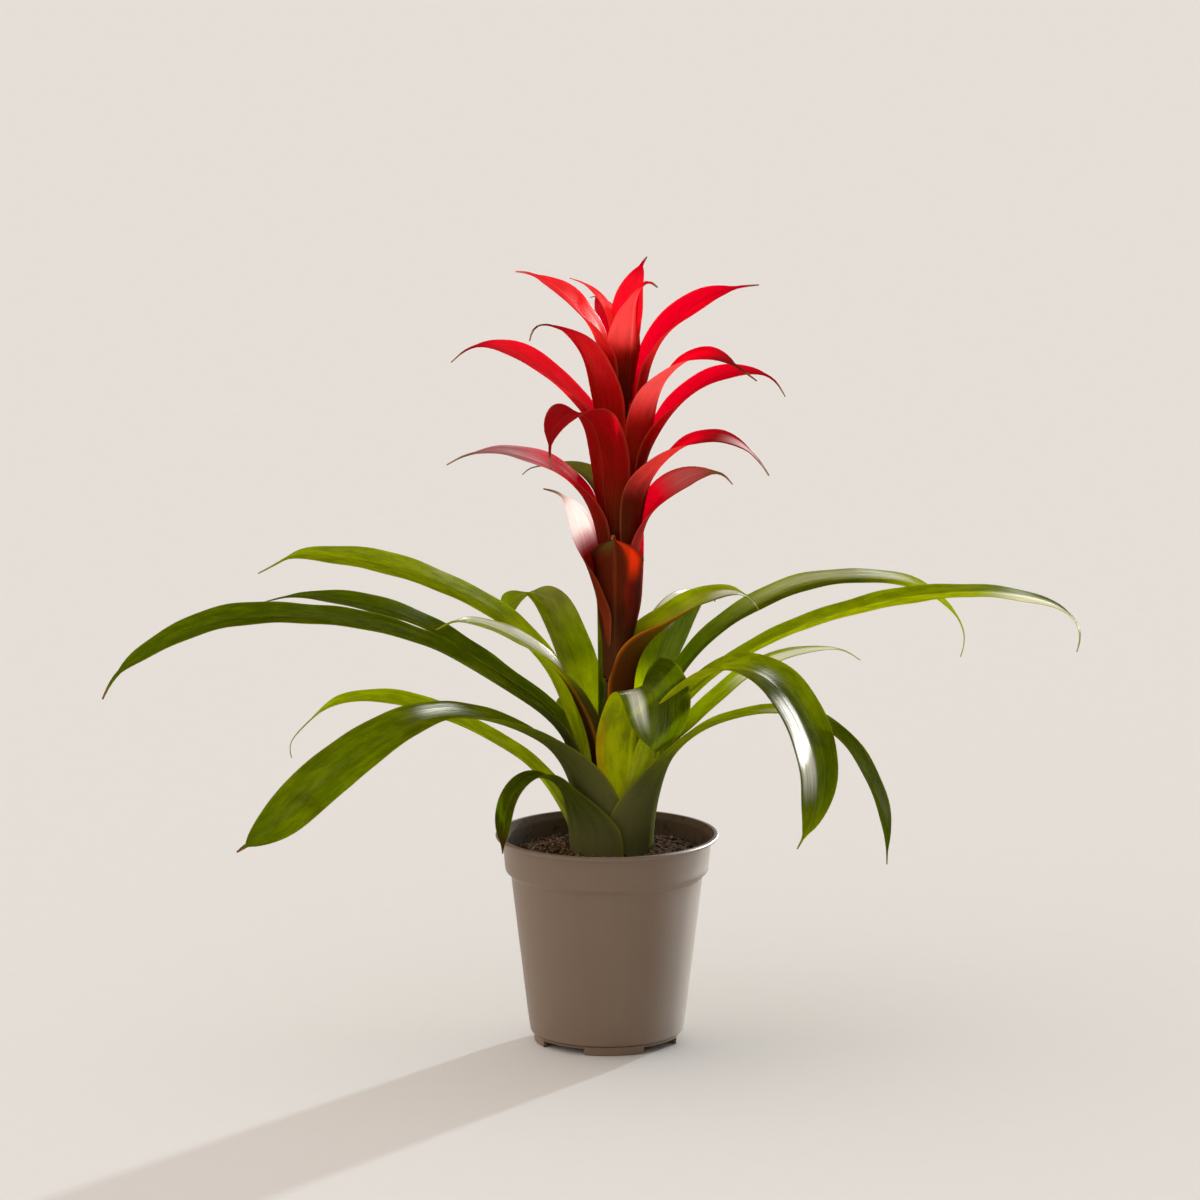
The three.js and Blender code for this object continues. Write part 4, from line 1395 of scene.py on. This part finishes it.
@dataclass(frozen=True)
class Pot:
    """The nursery pot: collar, tapering body, and a foot ring with drainage gaps."""

    outside: Table = (
        (39.2, 0), (39.4, 5.4), (40.9, 5.6), (41.4, 6.6), (42.6, 15), (50.5, 81), (51.7, 91.4), (52.6, 92.4),
        (54.6, 94.2), (55, 96.5), (56.3, 111.4), (59.4, 111.8), (60, 112.5), (60, 113.5), (59.5, 114),
    )
    inside: Table = (
        (57.7, 114), (57.3, 113.4), (55, 110.8), (53.7, 96.6), (51.2, 93.4), (50.3, 91.4), (49.2, 81), (41.3, 15),
        (40, 5.2), (38.8, 4.2),
    )
    underside: Table = ((0, 0), (15, 0), (16, 2.6), (36.6, 2.6), (37, 0))
    floor: float = 4.2
    rounding: float = 0.8
    steps: int = 180
    slots: tuple[float, ...] = (51.0, 141.0, 231.0, 321.0)
    slot_width: float = 42.0
    slot_height: float = 3.6
    slot_from: float = 35.5
    slot_bevel: float = 0.15
    rim_drop: float = 0.05
    finish: PotFinish = PotFinish()

    def in_slot(self, angle: float) -> bool:
        """Whether an angle, in radians, lies in one of the drainage gaps."""
        turns = (abs((math.degrees(angle) - middle + 180.0) % 360.0 - 180.0) for middle in self.slots)
        return min(turns) < self.slot_width / 2.0

    def angles(self) -> np.ndarray:
        """The angles of the steps, in radians, with one close on each side of every end of a gap.

        Returns:
            The angles in their order, without the closing one.
        """
        steps = set(np.round(np.linspace(0.0, 360.0, self.steps + 1)[:-1], 3))
        for middle in self.slots:
            for end in (middle - self.slot_width / 2, middle + self.slot_width / 2):
                steps |= {round(end - self.slot_bevel, 3), round(end + self.slot_bevel, 3)}
        return np.radians(np.array(sorted(steps)))

    def build(self) -> list[bpy.types.Object]:
        """Turns the pot with rounded edges and cuts the gaps into its foot ring.

        Returns:
            The new piece, alone in its list.
        """
        profile = softened((*self.underside, *self.outside, *self.inside, (0, self.floor)), self.rounding)
        angles = self.angles()

        def shape(radius: float, height: float, angle: float) -> Vector:
            """Point of the pot, lifted where a gap is cut into the foot ring.

            Args:
                radius: how far out it is, in millimetres.
                height: how high it is without the gap.
                angle: where it is round the axis, in radians.

            Returns:
                The point in millimetres.
            """
            if radius > self.slot_from and height < self.slot_height and self.in_slot(angle):
                height = self.slot_height
            return Vector((radius * math.cos(angle), radius * math.sin(angle), height))

        piece = linked("nursery_pot", turned(profile, angles, shape))
        rim = max(i for i, (radius, height) in enumerate(profile) if height > self.outside[-1][1] - self.rim_drop)
        rows = np.repeat(np.arange(1, len(profile) - 1) > rim, len(angles))
        stored(piece.data, "inside", np.concatenate([[0.0], rows, [1.0]]))
        piece.data.materials.append(self.finish.build())
        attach(piece, "root")
        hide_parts("pot")
        return [piece]


@dataclass(frozen=True)
class SoilFinish:
    """Coarse coir compost: dark crumbs, paler fibres and dry grains."""

    name: str = "coir_compost"
    dark: Colour = (0.018, 0.009, 0.005)
    brown: Colour = (0.17, 0.088, 0.045)
    tan: Colour = (0.6, 0.37, 0.21)

    def build(self) -> bpy.types.Material:
        """Makes the material.

        Returns:
            The material, which reads each crumb's share of tan from the mesh.
        """
        paint = Paint(self.name)
        place = paint.place()
        lumps = paint.cloud(place, 260.0, 5.0, 0.7)
        grains = paint.cells(place, 620.0)
        tint = paint.stored("tint")
        colour = paint.mix(lumps.rise(0.42, 0.62), self.dark, self.brown)
        colour = paint.mix((paint.cloud(place, 600.0, 3.0).rise(0.58, 0.68) * 0.5).held(), colour, self.tan)
        colour = paint.mix((tint * (0.3 + lumps.rise(0.4, 0.6))).held(), colour, self.tan)
        compost = paint.surface(
            {
                "Base Color": colour,
                "Roughness": (0.8 + 0.18 * lumps).held(),
                "Normal": paint.bump(lumps + grains * 0.6, 0.0012, 0.8),
                "Specular IOR Level": 0.1,
            }
        )
        return paint.shown(compost)


@dataclass
class Heap:
    """What the compost's mesh is heaped up from: points in millimetres, faces, and a share of tan at each point."""

    points: list[tuple[float, float, float]] = field(default_factory=list)
    faces: list[tuple[int, ...]] = field(default_factory=list)
    tints: list[float] = field(default_factory=list)


@dataclass(frozen=True)
class Soil:
    """The compost in the pot: one lumpy top, closed below, with crumbs and fibres lying on it."""

    mound: Table = ((0, 105), (27, 105.2), (34, 104.7), (42, 103.6), (48, 102.6), (54, 101.4))
    radius: float = 53.6
    wall: Table = ((53.3, 96.6), (50.8, 93.7), (49.9, 91.7), (48.8, 81.3), (40.9, 15.3), (39.6, 5.5), (38.4, 4.5))
    rings: int = 52
    steps: int = 150
    swell: float = 0.9
    swell_scale: float = 0.11
    swell_shift: tuple[int, int, int] = (3, 1, 7)
    lump: float = 1.3
    lump_scale: float = 0.42
    calm_from: float = 52.5
    calm: float = 0.4
    crumbs: int = 1500
    crumb_size: tuple[float, float] = (0.35, 1.3)
    crumb_long: tuple[float, float] = (1.0, 2.4)
    crumb_flat: tuple[float, float] = (0.5, 0.9)
    crumb_tilt: tuple[float, float] = (-0.5, 0.5)
    crumb_wobble: tuple[float, float] = (0.7, 1.2)
    crumb_tan: tuple[float, float] = (0.02, 0.34)
    crumb_stands: float = 0.25
    chips_above: float = 0.88
    chip: float = 1.7
    fibres: int = 420
    fibre_long: tuple[float, float] = (2.5, 7.0)
    fibre_thick: tuple[float, float] = (0.09, 0.2)
    fibre_bend: float = 0.25
    fibre_lift: tuple[float, float] = (0.0, 1.2)
    fibre_tan: tuple[float, float] = (0.4, 1.0)
    fibre_stands: float = 0.25
    open_from: float = 20.0
    open_to: float = 52.8
    fibres_to: float = 52.6
    fibre_points: int = 6
    seed: int = 11
    finish: SoilFinish = SoilFinish()

    def height(self, x: float, y: float) -> float:
        """Height of the soil's top.

        Args:
            x: sideways place, in millimetres.
            y: place away from the viewer.

        Returns:
            The height there, in millimetres.
        """
        out = math.hypot(x - AXIS_X * 0.6, y)
        mound = along(self.mound, np.array([out]))[0]
        place = Vector((x, y, 0.0))
        big = noise.noise(place * self.swell_scale + Vector(self.swell_shift))
        small = noise.fractal(place * self.lump_scale, 1.0, 2.0, 4)
        return float(mound) + self.swell * big + self.lump * small * (self.calm if out > self.calm_from else 1.0)

    def build(self) -> list[bpy.types.Object]:
        """Builds the compost with its crumbs as one piece.

        Returns:
            The new piece, alone in its list.
        """
        heap = self.bed()
        rng = np.random.default_rng(self.seed)
        for _ in range(self.crumbs):
            self.crumb(rng, heap)
        for _ in range(self.fibres):
            self.fibre(rng, heap)
        mesh = bpy.data.meshes.new("compost")
        mesh.from_pydata([(x * MM, y * MM, z * MM) for x, y, z in heap.points], [], heap.faces)
        stored(mesh, "tint", np.array(heap.tints))
        piece = linked("compost", mesh)
        mesh.materials.append(self.finish.build())
        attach(piece, "root")
        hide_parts("soil")
        return [piece]

    def bed(self) -> Heap:
        """Lays the compost itself, closed at the sides and below.

        Returns:
            The heap that the crumbs and fibres join.
        """
        rows = [(self.radius * (k + 1) / self.rings, None) for k in range(self.rings)] + list(self.wall)
        points = [(0.0, 0.0, self.height(0.0, 0.0))]
        for radius, height in rows:
            for k in range(self.steps):
                angle = 2 * math.pi * k / self.steps
                x, y = radius * math.cos(angle), radius * math.sin(angle)
                points.append((x, y, self.height(x, y) if height is None else height))
        after = [(k + 1) % self.steps for k in range(self.steps)]
        faces = [(0, 1 + k, 1 + n) for k, n in enumerate(after)]
        for i in range(len(rows) - 1):
            a, b = 1 + i * self.steps, 1 + (i + 1) * self.steps
            faces += [(a + k, b + k, b + n, a + n) for k, n in enumerate(after)]
        points.append((0.0, 0.0, self.wall[-1][1]))
        last, end = 1 + (len(rows) - 1) * self.steps, len(points) - 1
        faces += [(last + n, last + k, end) for k, n in enumerate(after)]
        return Heap(points, faces, [0.0] * len(points))

    def spot(self, rng: np.random.Generator) -> tuple[float, float]:
        """A random place on the open soil, between the plant and the wall."""
        radius, angle = math.sqrt(rng.uniform(self.open_from**2, self.open_to**2)), rng.uniform(0.0, 2.0 * math.pi)
        return radius * math.cos(angle), radius * math.sin(angle)

    def crumb(self, rng: np.random.Generator, heap: Heap) -> None:
        """Adds one crumb, a lump with eight corners drawn out of shape, half sunk in the soil.

        Args:
            rng: the seeded source of its place, size and turn.
            heap: what it joins.
        """
        x, y = self.spot(rng)
        size = rng.uniform(*self.crumb_size) * (self.chip if rng.random() > self.chips_above else 1.0)
        long, flat = rng.uniform(*self.crumb_long), rng.uniform(*self.crumb_flat)
        angle, tilt = rng.uniform(0, 2 * math.pi), rng.uniform(*self.crumb_tilt)
        tint = float(np.clip(rng.normal(*self.crumb_tan), 0.0, 1.0))
        z = self.height(x, y) + size * self.crumb_stands
        start = len(heap.points)
        ends = [(0.0, 0.0, 1.0), (0.0, 0.0, -1.0)]
        belt = [(math.cos(k * math.pi / 3), math.sin(k * math.pi / 3), 0.35 * (-1) ** k) for k in range(6)]
        for px, py, pz in ends + belt:
            wobble = rng.uniform(*self.crumb_wobble)
            px, py, pz = px * size * long * wobble, py * size * wobble, pz * size * flat * wobble
            px, pz = px * math.cos(tilt) - pz * math.sin(tilt), px * math.sin(tilt) + pz * math.cos(tilt)
            across = x + px * math.cos(angle) - py * math.sin(angle)
            away = y + px * math.sin(angle) + py * math.cos(angle)
            heap.points.append((across, away, z + pz))
            heap.tints.append(tint)
        top, bottom, first = start, start + 1, start + 2
        for k in range(6):
            n = (k + 1) % 6
            heap.faces += [(top, first + k, first + n), (bottom, first + n, first + k)]

    def fibre(self, rng: np.random.Generator, heap: Heap) -> None:
        """Adds one coir fibre, a bent thread with three sides that lies on the soil.

        Args:
            rng: the seeded source of its place, size and turn.
            heap: what it joins.
        """
        x, y = self.spot(rng)
        long, thick = rng.uniform(*self.fibre_long), rng.uniform(*self.fibre_thick)
        angle, bend = rng.uniform(0, 2 * math.pi), rng.normal(0.0, self.fibre_bend)
        lift, tint = rng.uniform(*self.fibre_lift), float(rng.uniform(*self.fibre_tan))
        start, count = len(heap.points), self.fibre_points
        for i in range(count):
            s = i / (count - 1)
            way = angle + bend * (i - count / 2)
            x += math.cos(way) * long / count
            y += math.sin(way) * long / count
            out = math.hypot(x, y)
            if out > self.fibres_to:
                x, y = x * self.fibres_to / out, y * self.fibres_to / out
            z = self.height(x, y) + self.fibre_stands + lift * 4.0 * s * (1.0 - s)
            slim = thick * (1.0 - 0.6 * s)
            dx, dy = -math.sin(way) * slim, math.cos(way) * slim
            heap.points += [(x + dx, y + dy, z), (x - dx, y - dy, z), (x, y, z + 1.6 * slim)]
            heap.tints += [tint] * 3
        for a in range(start, start + 3 * (count - 1), 3):
            b = a + 3
            heap.faces += [(a, b, b + 1, a + 1), (a + 1, b + 1, b + 2, a + 2), (a + 2, b + 2, b, a)]
        end = start + 3 * count - 1
        heap.faces += [(start, start + 1, start + 2), (end, end - 1, end - 2)]


@dataclass(frozen=True)
class StemFinish:
    """Brown, faintly ribbed skin of the stem."""

    name: str = "brown_stem_skin"
    dark: Colour = (0.045, 0.025, 0.01)
    paler: Colour = (0.12, 0.06, 0.02)

    def build(self) -> bpy.types.Material:
        """Makes the material.

        Returns:
            The material.
        """
        paint = Paint(self.name)
        place = paint.place()
        x, y, z = paint.parts(place)
        threads = paint.cloud(paint.vector(x * 900.0, y * 900.0, z * 40.0), 1.0, 3.0)
        blotch = paint.cloud(place, 90.0, 3.0)
        skin = paint.surface(
            {
                "Base Color": paint.mix((threads * 0.6 + blotch * 0.5).held(), self.dark, self.paler),
                "Roughness": (0.4 + 0.2 * threads).held(),
                "Normal": paint.bump(threads, 0.0003, 0.6),
            }
        )
        return paint.shown(skin)


@dataclass(frozen=True)
class Stem:
    """The stem inside the rosette and the spike, with a slight ring where each bract sits."""

    profile: Table = (
        (0, BASE), (7.4, BASE), (7.4, 180), (6.3, 215), (5.3, 240), (5.2, 290), (4.2, 330), (3.1, 360), (2.5, 386),
        (0, 389),
    )
    rounding: float = 1.5
    step: float = 2.5
    sides: int = 48
    rings_apart: float = 11.0
    groove: float = 0.22
    ribs: int = 9
    rib_height: float = 0.08
    finish: StemFinish = StemFinish()

    def build(self) -> list[bpy.types.Object]:
        """Turns the stem about its leaning axis.

        Returns:
            The new piece, alone in its list.
        """
        rough = softened(self.profile, self.rounding)
        fine = [rough[0]]
        for before, after in zip(rough, rough[1:]):
            parts = max(1, int(np.linalg.norm(after - before) / self.step))
            fine += [before + (after - before) * (k + 1) / parts for k in range(parts)]
        angles = np.radians(np.linspace(0.0, 360.0, self.sides + 1)[:-1])

        def shape(radius: float, height: float, angle: float) -> Vector:
            """Point of the stem, drawn in a little between the rings.

            Args:
                radius: how far out it is without the rings, in millimetres.
                height: how high it is.
                angle: where it is round the axis, in radians.

            Returns:
                The point in millimetres.
            """
            between = 1.0 - abs(math.sin(height * math.pi / self.rings_apart)) ** 6
            ring = radius - self.groove * min(radius, 1.0) * between
            grain = self.rib_height * math.sin(angle * self.ribs + height * 0.05)
            ring = max(0.0, ring - 0.1 + grain) if radius > 0.5 else radius
            return Vector((axis_x(height) + ring * math.cos(angle), ring * math.sin(angle), height))

        piece = linked("flower_stem", turned(np.array(fine), angles, shape))
        piece.data.materials.append(self.finish.build())
        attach(piece, "root")
        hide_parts("stem")
        return [piece]


@dataclass(frozen=True)
class Lamp:
    """A far lamp: the way to it as turn and height in degrees, its power, colour and softness in degrees."""

    name: str
    turn: float
    height: float
    power: float
    colour: Colour
    softness: float
    gloss_only: bool = False


@dataclass(frozen=True)
class Studio:
    """Plain pale floor, a soft sky, a low lamp behind on the right, three lamps for the glosses, and the camera."""

    floor: Colour = (0.82, 0.82, 0.82)
    floor_size: float = 14.0
    sky: Colour = (0.775, 0.695, 0.628)
    sky_from: tuple[float, float, float] = (-0.94, 0.3, 0.1)
    sky_even: float = 0.12
    sky_in_gloss: float = 0.15
    key: Lamp = Lamp("key", 55.5, 7.0, 4.1, (0.84, 0.95, 1.0), 2.2)
    window: Lamp = Lamp("window", 29.0, 20.0, 6.5, (1.0, 0.98, 0.95), 28.0, gloss_only=True)
    edge: Lamp = Lamp("edge", 30.0, 4.0, 10.0, (1.0, 0.96, 0.9), 12.0, gloss_only=True)
    skylight: Lamp = Lamp("skylight", 58.0, 54.0, 5.0, (1.0, 0.98, 0.95), 22.0, gloss_only=True)
    lamp_distance: float = 2.0
    aim: tuple[float, float, float] = (-3.75, 0.0, 242.0)
    distance: float = 5000.0
    pitch: float = 11.5
    lens: float = 280.0
    sensor: float = 36.0
    farthest: float = 100.0

    def build(self) -> None:
        """Makes the floor, the lights and the camera."""
        self.build_floor()
        self.build_sky()
        self.build_lamps()
        self.build_camera()
        bpy.context.scene.view_settings.view_transform = "Standard"

    def build_floor(self) -> None:
        """Lays the floor, which isn't part of the object."""
        paint = Paint("pale_floor")
        grain = paint.cloud(paint.place(), 60.0, 3.0)
        paler = tuple(min(1.0, part * 1.02) for part in self.floor)
        colour = paint.mix(grain, self.floor, paler)
        half = self.floor_size / 2
        mesh = bpy.data.meshes.new("floor")
        mesh.from_pydata([(-half, -half, 0), (half, -half, 0), (half, half, 0), (-half, half, 0)], [], [(0, 1, 2, 3)])
        mesh.materials.append(
            paint.shown(paint.surface({"Base Color": colour, "Roughness": 0.9, "Specular IOR Level": 0.0}))
        )
        floor = bpy.data.objects.new("studio_floor", mesh)
        bpy.context.scene.collection.objects.link(floor)
        floor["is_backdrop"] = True

    def build_sky(self) -> None:
        """Lights the scene softly from all round, most from the left, and dimly where a gloss mirrors it."""
        world = bpy.data.worlds.new("soft_light")
        bpy.context.scene.world = world
        world.use_nodes = True
        sky = Nodes(world.node_tree)
        bright_way = tuple(Vector(self.sky_from).normalized())
        way = sky.node("ShaderNodeTexCoord").outputs["Generated"]
        toward = sky.node("ShaderNodeVectorMath", {"operation": "DOT_PRODUCT"}, {0: way, 1: bright_way})
        near = sky.value(toward, "Value")
        in_gloss = sky.value(sky.node("ShaderNodeLightPath"), "Is Glossy Ray")
        power = (1.0 + near * (1.0 - self.sky_even)) * (1.0 - in_gloss * (1.0 - self.sky_in_gloss))
        shown = sky.node("ShaderNodeBackground", None, {"Color": self.sky, "Strength": power}).outputs[0]
        sky.node("ShaderNodeOutputWorld", None, {"Surface": shown})

    def build_lamps(self) -> None:
        """Sets the low lamp behind the object on the right and the lamps that show in the glosses alone."""
        for lamp in (self.key, self.window, self.edge, self.skylight):
            data = bpy.data.lights.new(lamp.name, "SUN")
            data.energy, data.angle, data.color = lamp.power, math.radians(lamp.softness), lamp.colour
            turn, height = math.radians(lamp.turn), math.radians(lamp.height)
            way = Vector((math.cos(height) * math.cos(turn), math.cos(height) * math.sin(turn), math.sin(height)))
            placed = bpy.data.objects.new(lamp.name, data)
            placed.location = way * self.lamp_distance
            placed.rotation_mode = "QUATERNION"
            placed.rotation_quaternion = way.to_track_quat("Z", "Y")
            placed.visible_diffuse = placed.visible_transmission = not lamp.gloss_only
            bpy.context.scene.collection.objects.link(placed)

    def build_camera(self) -> None:
        """Sets the camera at the photograph's angle."""
        data = bpy.data.cameras.new("camera")
        data.lens, data.sensor_width, data.clip_end = self.lens, self.sensor, self.farthest
        camera = bpy.data.objects.new("camera", data)
        pitch = math.radians(self.pitch)
        back = Vector((0.0, -math.cos(pitch), math.sin(pitch)))
        camera.location = (Vector(self.aim) + back * self.distance) * MM
        camera.rotation_mode = "QUATERNION"
        camera.rotation_quaternion = back.to_track_quat("Z", "Y")
        bpy.context.scene.collection.objects.link(camera)
        bpy.context.scene.camera = camera


def main() -> None:
    """Builds the studio and every part of the plant in order, and logs the dressed model's size."""
    logging.basicConfig(level=logging.INFO, format="%(message)s")
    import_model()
    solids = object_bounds()
    Studio().build()
    rosette = Crown(Whorl.LEAVES, LEAVES, LEAF_SKIN)
    spike = Crown(Whorl.BRACTS, BRACTS, BRACT_SKIN)
    for part in (Pot(), Soil(), Stem(), rosette, spike):
        for piece in part.build():
            LOG.info("%s: %d faces", piece.name, len(piece.data.polygons))
    sizes = {"solids": [list(corner) for corner in solids], "dressed": [list(corner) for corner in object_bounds()]}
    LOG.info("dressed model inside %s", sizes["dressed"])


if __name__ == "__main__":
    main()
